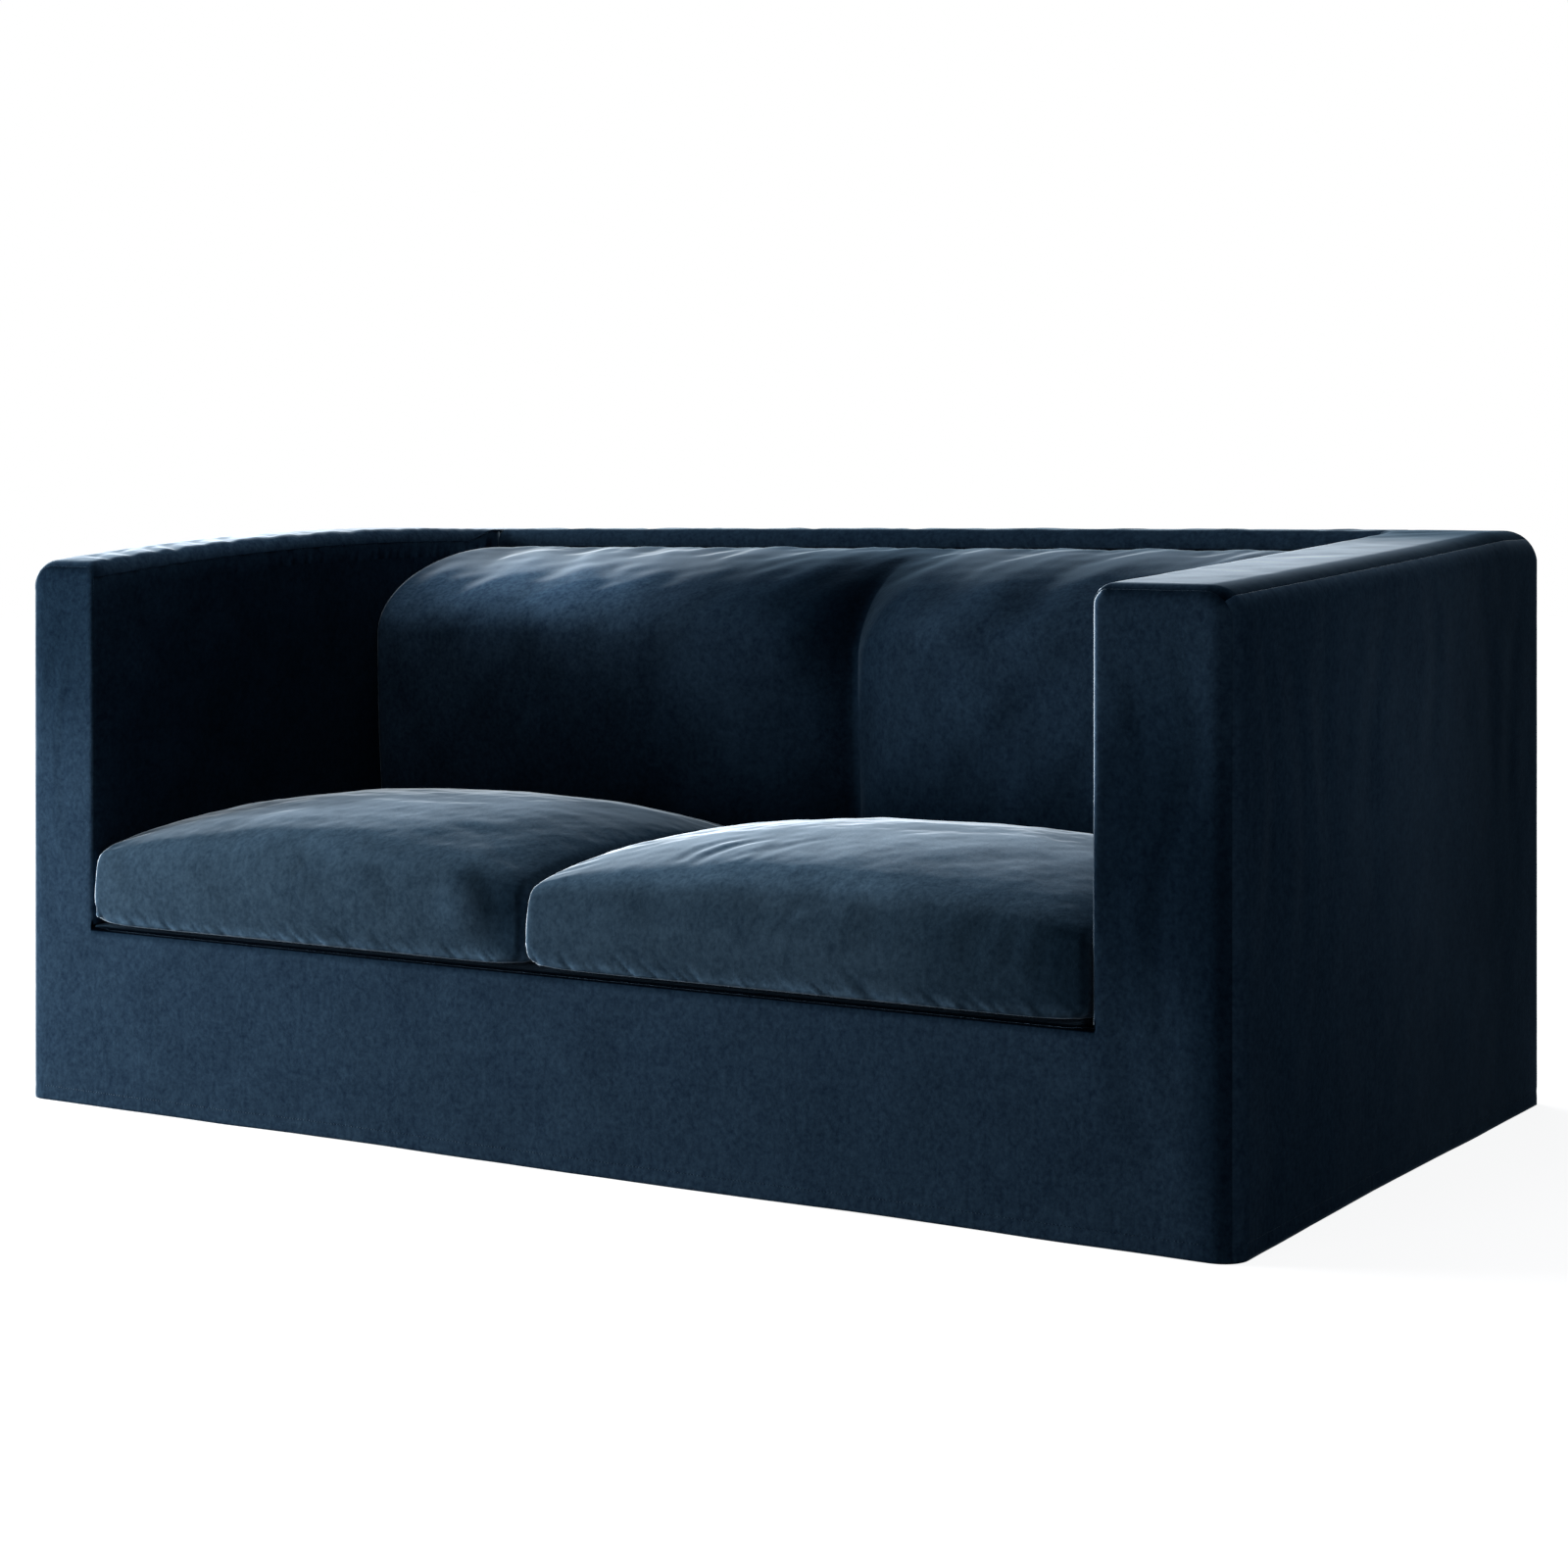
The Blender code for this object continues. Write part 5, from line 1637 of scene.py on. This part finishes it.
def nearest_on_path(points, path, reach):
    """For each point near the closed path: its distance from it, and its place along it."""
    tree = point_tree(path)
    step = np.linalg.norm(np.diff(path, axis=0, append=path[:1]), axis=1)
    along = np.concatenate([[0], np.cumsum(step)])[:-1]
    low, high = path.min(0) - reach, path.max(0) + reach
    close = np.flatnonzero(((points > low) & (points < high)).all(1))
    away = np.full(len(points), 1.0)
    place = np.zeros(len(points))
    following = np.roll(path, -1, axis=0)
    before = np.roll(path, 1, axis=0)
    for n in close:
        _, index, distance = tree.find(points[n])
        if distance > reach:
            continue
        offset = points[n] - path[index]
        tangent = following[index] - before[index]
        tangent /= np.linalg.norm(tangent)
        travel = float(offset @ tangent)
        away[n] = math.sqrt(max(distance**2 - travel**2, 0.0))
        place[n] = along[index] + travel
    return away, place


def on_surface(path, points):
    """The closed path laid on the nearest points, and evened out."""
    tree = point_tree(points)
    path = np.array([tree.find(p)[0] for p in path], float)
    for _ in range(6):
        path = (np.roll(path, 1, axis=0) + 2 * path + np.roll(path, -1, axis=0)) / 4
    return path


def swell(obj, side, seam, cushions):
    """Let the filling press the cover out, no further than the cap.

    The seam, the underside and the cushion's ends stay where they are.
    """
    points = per_point(obj.data, "co")
    centre, half = cushion_box(side)
    held = nearest_on_path(points, seam, SEAM_REACH)[0] < HELD_BY_SEAM
    held |= points[:, 2] < FOOT + HELD_AT_FOOT
    held |= np.abs(points[:, 0] - centre[0]) > half[0] - HELD_AT_ENDS
    group = obj.vertex_groups.new(name="held")
    group.add(np.flatnonzero(held).tolist(), 1.0, "REPLACE")
    modifier = obj.modifiers.new("filling", "CLOTH")
    settings = modifier.settings
    settings.vertex_group_mass = "held"
    settings.use_pressure = True
    settings.uniform_pressure_force = cushions.pressure
    settings.effector_weights.gravity = 0.0
    for key, value in FILLING.items():
        setattr(settings, key, value)
    modifier.point_cache.frame_start = 1
    modifier.point_cache.frame_end = cushions.frames
    scene = bpy.context.scene
    for step in range(1, cushions.frames + 1):
        scene.frame_set(step)
    mesh = baked(obj)
    moved = per_point(mesh, "co") - points
    travel = np.linalg.norm(moved, axis=1, keepdims=True)
    moved *= cushions.swell_cap * np.tanh(travel / cushions.swell_cap) / np.maximum(travel, 1e-9)
    mesh.vertices.foreach_set("co", (points + moved).astype(np.float32).ravel())
    scene.frame_set(1)
    obj.vertex_groups.clear()


def seat_cushion(scene, side):
    """A filled cushion: simulated swelling, then the seam's puckers and the creases."""
    cushions, sizes = scene.cover_cushions, scene.cover_sizes
    obj = cushion_start(side, cushions.inset)
    remesh = obj.modifiers.new("even", "REMESH")
    remesh.mode = "VOXEL"
    remesh.voxel_size = cushions.voxel
    baked(obj)
    smooth = obj.modifiers.new("smooth", "SMOOTH")
    smooth.iterations = cushions.softness
    smooth.factor = 0.5
    baked(obj)
    seam = cushion_seam(side)
    swell(obj, side, seam, cushions)
    finer = obj.modifiers.new("finer", "SUBSURF")
    finer.levels = finer.render_levels = 1
    mesh = baked(obj)

    points, normals = per_point(mesh, "co"), per_point(mesh, "normal")
    centre, half = cushion_box(side)
    low, high = centre - half, centre + half
    x, y, z = points.T
    front = smoothstep(0.2, 0.8, -normals[:, 1])
    up = smoothstep(0.3, 0.85, normals[:, 2])
    creases, painted_light_patches, uneven = CUSHION_CREASES[side], CUSHION_PAINTED_LIGHT[side], CUSHION_UNEVEN[side]
    relief = CUSHION_FRONT_SHARE[side] * front * crease_depth(creases["front"], x, z)
    relief += CUSHION_TOP_SHARE * up * crease_depth(creases["top"], x, y)
    relief += (up + 0.3 * front) * unevenness(x, y + 0.7 * z, *uneven["broad"])
    relief += 0.35 * unevenness(x + 0.3 * y, z * 1.2 + y, *uneven["fine"])

    seam = on_surface(seam, points)
    length = float(np.linalg.norm(np.diff(seam, axis=0, append=seam[:1]), axis=1).sum())
    away, place = nearest_on_path(points, seam, 0.05)
    lip = puckers("cushion_lip_" + side, place, away, length, sizes)
    lip -= puckers("cushion_ridge_" + side, place, away, length, sizes)
    relief += lip

    # Painted light and shade on the cushions: the listed patches, a painted highlight along the
    # bottom seam and on the front of the left end, and painted shade in the puckers with painted
    # highlight on their ridges.
    nap = patches(painted_light_patches["front"], x, z) * front + patches(painted_light_patches["top"], x, y) * up
    nap += (painted_edge_light(CUSHION_LIP_HIGHLIGHT, away) + PUCKER_SHADE * lip) * (z > RAIL_HEIGHT + 0.004)
    nap += painted_edge_light(CUSHION_END_HIGHLIGHT, x - low[0]) * (y < low[1] + 0.03)

    relief *= smoothstep(RAIL_HEIGHT + 0.001, RAIL_HEIGHT + 0.010, z)
    points -= normals * relief[:, None]
    points[:, 2] = np.maximum(points[:, 2], FOOT)
    points[:, 0] = np.clip(points[:, 0], low[0] - CUSHION_SIDE_GAP, high[0] + CUSHION_SIDE_GAP)
    mesh.vertices.foreach_set("co", points.astype(np.float32).ravel())
    mesh.materials.clear()
    mesh.materials.append(cushion_velvet(scene))
    mesh.shade_smooth()
    write_fields(mesh, relief=raised(relief), seam=falloff(away, CUSHION_SEAM_SHADE), nap=nap)
    obj.name = mesh.name = "filled_seat_cushion_" + side
    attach(obj, "root")
    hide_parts("seat_cushion_" + side)


def hem_line(points, hem, sizes):
    """The line of a hem's stitches on the panel that has these points."""
    end, height = hem
    level = np.array(sizes.hem_height / height)
    return points(run(-end, end, STITCH_STEP), level, sizes, STITCH_LIFT)[0]


class COVER_OT_outside(bpy.types.Operator):
    """Cut and hang the front, the two sides and the outside back, with their hems."""

    bl_idname = "cover.outside"
    bl_label = "Outside panels"

    def execute(self, context):
        scene = context.scene
        sizes, finish = scene.cover_sizes, cover_velvet(scene)
        pitch = sizes.cloth_pitch
        edge = edge_run(OUTER_EDGE)
        up = np.concatenate([HEM_LEVELS, run(0.024, 1.0, pitch / SIDE_SPAN)])
        levels = np.concatenate([up, 2 - edge[-2::-1] / OUTER_EDGE])
        hems = []
        y, level = np.meshgrid(stations(FRONT, BACK, pitch, edge, edge), levels, indexing="ij")
        for side in ("left", "right"):
            surface = side_points(side, y, level, sizes)
            panel = cloth_panel("side_panel_" + side, surface, sizes, finish, flip=side == "left")
            path = hem_line(partial(side_points, side), HEMS["side_panel"], sizes)
            hems.append((panel, path, (0.99, 0.73), None))

        across = stations(OUTER_X["left"], OUTER_X["right"], 1.25 * pitch, edge, edge)
        x, level = np.meshgrid(across, levels, indexing="ij")
        panel = cloth_panel("back_panel", back_points(x, level, sizes), sizes, finish, flip=True)
        path = hem_line(back_points, HEMS["back_panel"], sizes)
        hems.append((panel, path, (1.71, 0.74), None))

        opening = edge_run(ARM_INNER_EDGE, 0.003)
        left = stations(OUTER_X["left"], INNER_X["left"], 0.7 * pitch, edge, opening)
        right = stations(INNER_X["right"], OUTER_X["right"], 0.7 * pitch, opening, edge)
        span = run(left[-1], right[0], pitch)[1:-1]
        columns = np.concatenate([left, span, right])
        rail = np.concatenate([HEM_LEVELS * 3, run(0.07, 1.0, pitch / RAIL_SPAN)])
        lip = 2 - edge_run(OPENING_EDGE)[-2::-1] / OPENING_EDGE
        arm = np.concatenate([run(2.0, 3.0, pitch / ARM_SPAN), 4 - edge[-2::-1] / OUTER_EDGE])
        x, level = np.meshgrid(columns, np.concatenate([rail, lip, arm]), indexing="ij")
        wanted = np.ones((x.shape[0] - 1, x.shape[1] - 1), bool)
        wanted[len(left) - 1 : len(left) + len(span), len(rail) + len(lip) - 1 :] = False
        panel = cloth_panel("front_panel", front_points(x, level, sizes), sizes, finish, wanted)
        path = hem_line(front_points, HEMS["front_panel"], sizes)
        hems.append((panel, path, (1.71, 0.70), 0.51))

        for panel, path, flat, area in hems:
            name = "hem_stitches_" + panel.name.removeprefix("cloth_")
            pieces = [sew_along(name, path, sizes, finish)]
        return {"FINISHED"}


class COVER_OT_tops(bpy.types.Operator):
    """Lay the tops of the arms and of the back."""

    bl_idname = "cover.tops"
    bl_label = "Arm tops and back top"

    def execute(self, context):
        scene = context.scene
        sizes, finish = scene.cover_sizes, cover_velvet(scene)
        pitch = sizes.cloth_pitch
        edge = edge_run(OUTER_EDGE)
        lengthwise = stations(FRONT, BACK, 0.9 * pitch, edge, edge)
        for side in ("left", "right"):
            thick = ARM_THICKNESS[side]
            inner = edge_run(2 * ARM_INNER_EDGE - 0.001, 0.003)
            middle = run(OUTER_EDGE, thick - ARM_INNER_EDGE, 0.6 * pitch)
            across = np.concatenate([edge[:-1], middle, thick + ARM_INNER_EDGE - inner[-2::-1]])
            across, y = np.meshgrid(across, lengthwise, indexing="ij")
            surface = arm_top_points(side, across, y, sizes)
            panel = cloth_panel("arm_top_" + side, surface, sizes, finish, flip=side == "right")
        across = stations(0.0, BAND_END, 0.6 * pitch, edge, edge_run(0.03, 0.003))
        x = stations(INNER_X["left"], INNER_X["right"], pitch, *[edge_run(BY_SEAM)] * 2)
        x, across = np.meshgrid(x, across, indexing="ij")
        surface = back_top_points(x, across, sizes)
        panel = cloth_panel("back_top", surface, sizes, finish, flip=True)
        return {"FINISHED"}


class COVER_OT_inside(bpy.types.Operator):
    """Fit the padded inside back, the insides of the arms and the deck under the cushions."""

    bl_idname = "cover.inside"
    bl_label = "Inside panels and deck"

    def execute(self, context):
        scene = context.scene
        sizes, finish = scene.cover_sizes, cover_velvet(scene)
        pitch = sizes.cloth_pitch
        near = edge_run(BY_SEAM)
        ends = INNER_X["left"] + PAD_CLEAR, INNER_X["right"] - PAD_CLEAR
        x = stations(*ends, 0.95 * pitch, near, near)
        t = np.concatenate([HEM_LEVELS, run(0.026, 1.0, 0.018), run(1.0, 2.0, 0.026)[1:]])
        x, t = np.meshgrid(x, t, indexing="ij")
        surface = inside_back_points(x, t, sizes)
        panel = cloth_panel("inside_back", surface, sizes, finish, flip=True)

        lip = edge_run(OPENING_EDGE, 0.002)
        share = np.concatenate([lip[:-1] / OPENING_EDGE - 1, run(0.0, 1.0, pitch / INSIDE_SPAN)])
        t = np.concatenate([run(2.0, 0.01, 0.022), [0.0, -1.0]])
        share, t = np.meshgrid(share, t, indexing="ij")
        for side in ("left", "right"):
            surface = inside_arm_points(side, share, t, sizes)
            panel = cloth_panel("inside_arm_" + side, surface, sizes, finish, flip=side == "right")

        rear = BAND_Y - PAD_REACH * (1 - VALLEY_DROP) + PAD_TUCK + DECK_LAP - FRONT
        from_front = np.concatenate([lip[:-1], run(OPENING_EDGE, rear, DECK_PITCH)])
        x = run(INNER_X["left"] + GAP, INNER_X["right"] - GAP, DECK_PITCH)
        x, from_front = np.meshgrid(x, from_front, indexing="ij")
        panel = cloth_panel("seat_deck", deck_points(x, from_front), sizes, finish)
        return {"FINISHED"}


class COVER_OT_cushions(bpy.types.Operator):
    """Fill the two seat cushions."""

    bl_idname = "cover.cushions"
    bl_label = "Seat cushions"

    def execute(self, context):
        for side in ("left", "right"):
            seat_cushion(context.scene, side)
        return {"FINISHED"}


def area_light(name, place, target, sides, power, colour):
    data = bpy.data.lights.new(name, "AREA")
    data.shape = "RECTANGLE"
    data.size, data.size_y = sides
    data.energy = power
    data.color = colour
    lamp = link(name, data)
    lamp.location = place
    x, y, z = np.array(target) - np.array(place)
    lamp.rotation_mode = "XYZ"
    lamp.rotation_euler = (math.atan2(math.hypot(x, y), -z), 0.0, math.atan2(y, x) - math.pi / 2)


def floor_material(look):
    """Pale floor that glows to the camera alone, and so reads as white."""
    material = bpy.data.materials.new("Studio floor")
    material.use_nodes = True
    tree = material.node_tree
    shader = tree.nodes["Principled BSDF"]
    place = add(tree, "ShaderNodeTexCoord").outputs["Object"]
    lighter = (*(min(value * FLOOR_MOTTLE, 1) for value in look.floor_colour), 1)
    tone = blend(tree, noise(tree, place, 3.0, 2.0), (*look.floor_colour, 1), lighter)
    rays = add(tree, "ShaderNodeLightPath").outputs["Is Camera Ray"]
    apart = add(tree, "ShaderNodeVectorMath", {0: place}, operation="LENGTH").outputs["Value"]
    glow = shader_math(tree, "MULTIPLY", rays, map_range(tree, apart, GLOW_REACH, GLOW))
    tree.links.new(tone, shader.inputs["Base Color"])
    tree.links.new(glow, shader.inputs["Emission Strength"])
    shader.inputs["Roughness"].default_value = 0.9
    shader.inputs["Specular IOR Level"].default_value = 0.1
    shader.inputs["Emission Color"].default_value = (1.0, 1.0, 1.0, 1)
    return material


def studio_world(ambient):
    """Dim light from all round, behind which the camera sees plain white."""
    world = bpy.data.worlds.new("Studio")
    world.use_nodes = True
    tree = world.node_tree
    lighting = tree.nodes["Background"]
    lighting.inputs["Color"].default_value = AMBIENT_COLOUR
    lighting.inputs["Strength"].default_value = ambient
    seen = add(tree, "ShaderNodeBackground", {"Color": (1, 1, 1, 1), "Strength": 1.0}).outputs[0]
    rays = add(tree, "ShaderNodeLightPath").outputs["Is Camera Ray"]
    both = add(tree, "ShaderNodeMixShader", {0: rays, 1: lighting.outputs[0], 2: seen})
    tree.links.new(both.outputs[0], tree.nodes["World Output"].inputs["Surface"])
    return world


class COVER_OT_stage(bpy.types.Operator):
    """Set the floor, the lights and the camera."""

    bl_idname = "cover.stage"
    bl_label = "Stage"

    def execute(self, context):
        scene = context.scene
        look = scene.cover_stage
        mesh = bpy.data.meshes.new("floor")
        turns = np.linspace(0, 2 * math.pi, FLOOR_CORNERS, endpoint=False)
        rim = FLOOR_RADIUS * np.cos(turns), FLOOR_RADIUS * np.sin(turns)
        mesh.from_pydata(stack(*rim, -FLOOR_DROP).tolist(), [], [list(range(FLOOR_CORNERS))])
        mesh.materials.append(floor_material(look))
        link("floor", mesh)

        for name, place, target, sides, power, colour in LIGHTS:
            area_light(name, place, target, sides, getattr(look, power), colour)
        scene.world = studio_world(look.ambient)

        data = bpy.data.cameras.new("Camera")
        data.sensor_width = CAMERA_SENSOR
        data.lens = CAMERA_LENS
        data.shift_y = CAMERA_SHIFT
        data.clip_end = CAMERA_REACH
        camera = link("Camera", data)
        camera.location = CAMERA_PLACE
        camera.rotation_euler = (math.radians(90), 0.0, math.radians(CAMERA_TURN))
        scene.camera = camera
        scene.view_settings.view_transform = "Standard"
        return {"FINISHED"}


class COVER_PT_panel(bpy.types.Panel):
    """Buttons for each group of pieces, with the sizes and colours."""

    bl_label = "Sofa cover"
    bl_idname = "COVER_PT_panel"
    bl_space_type = "VIEW_3D"
    bl_region_type = "UI"
    bl_category = "Sofa cover"

    def draw(self, context):
        for name in GROUPS:
            group = getattr(context.scene, name)
            box = self.layout.box()
            for key in group.bl_rna.properties.keys():
                if key not in ("rna_type", "name"):
                    box.prop(group, key)
        for operator in OPERATORS:
            self.layout.operator(operator.bl_idname)


OPERATORS = (COVER_OT_outside, COVER_OT_tops, COVER_OT_inside, COVER_OT_cushions, COVER_OT_stage)
GROUPS = {
    "cover_sizes": CoverSizes,
    "cover_cushions": CushionSizes,
    "cover_velvet": VelvetFinish,
    "cover_stage": StageLook,
}


def register():
    for cls in (*GROUPS.values(), *OPERATORS, COVER_PT_panel):
        bpy.utils.register_class(cls)
    for key, cls in GROUPS.items():
        setattr(bpy.types.Scene, key, PointerProperty(type=cls))


def unregister():
    for key in GROUPS:
        delattr(bpy.types.Scene, key)
    for cls in (COVER_PT_panel, *reversed(OPERATORS), *reversed(GROUPS.values())):
        bpy.utils.unregister_class(cls)


def main():
    register()
    bpy.ops.cover.outside()
    bpy.ops.cover.tops()
    bpy.ops.cover.inside()
    bpy.ops.cover.cushions()
    bpy.ops.cover.stage()


if __name__ == "__main__":
    main()
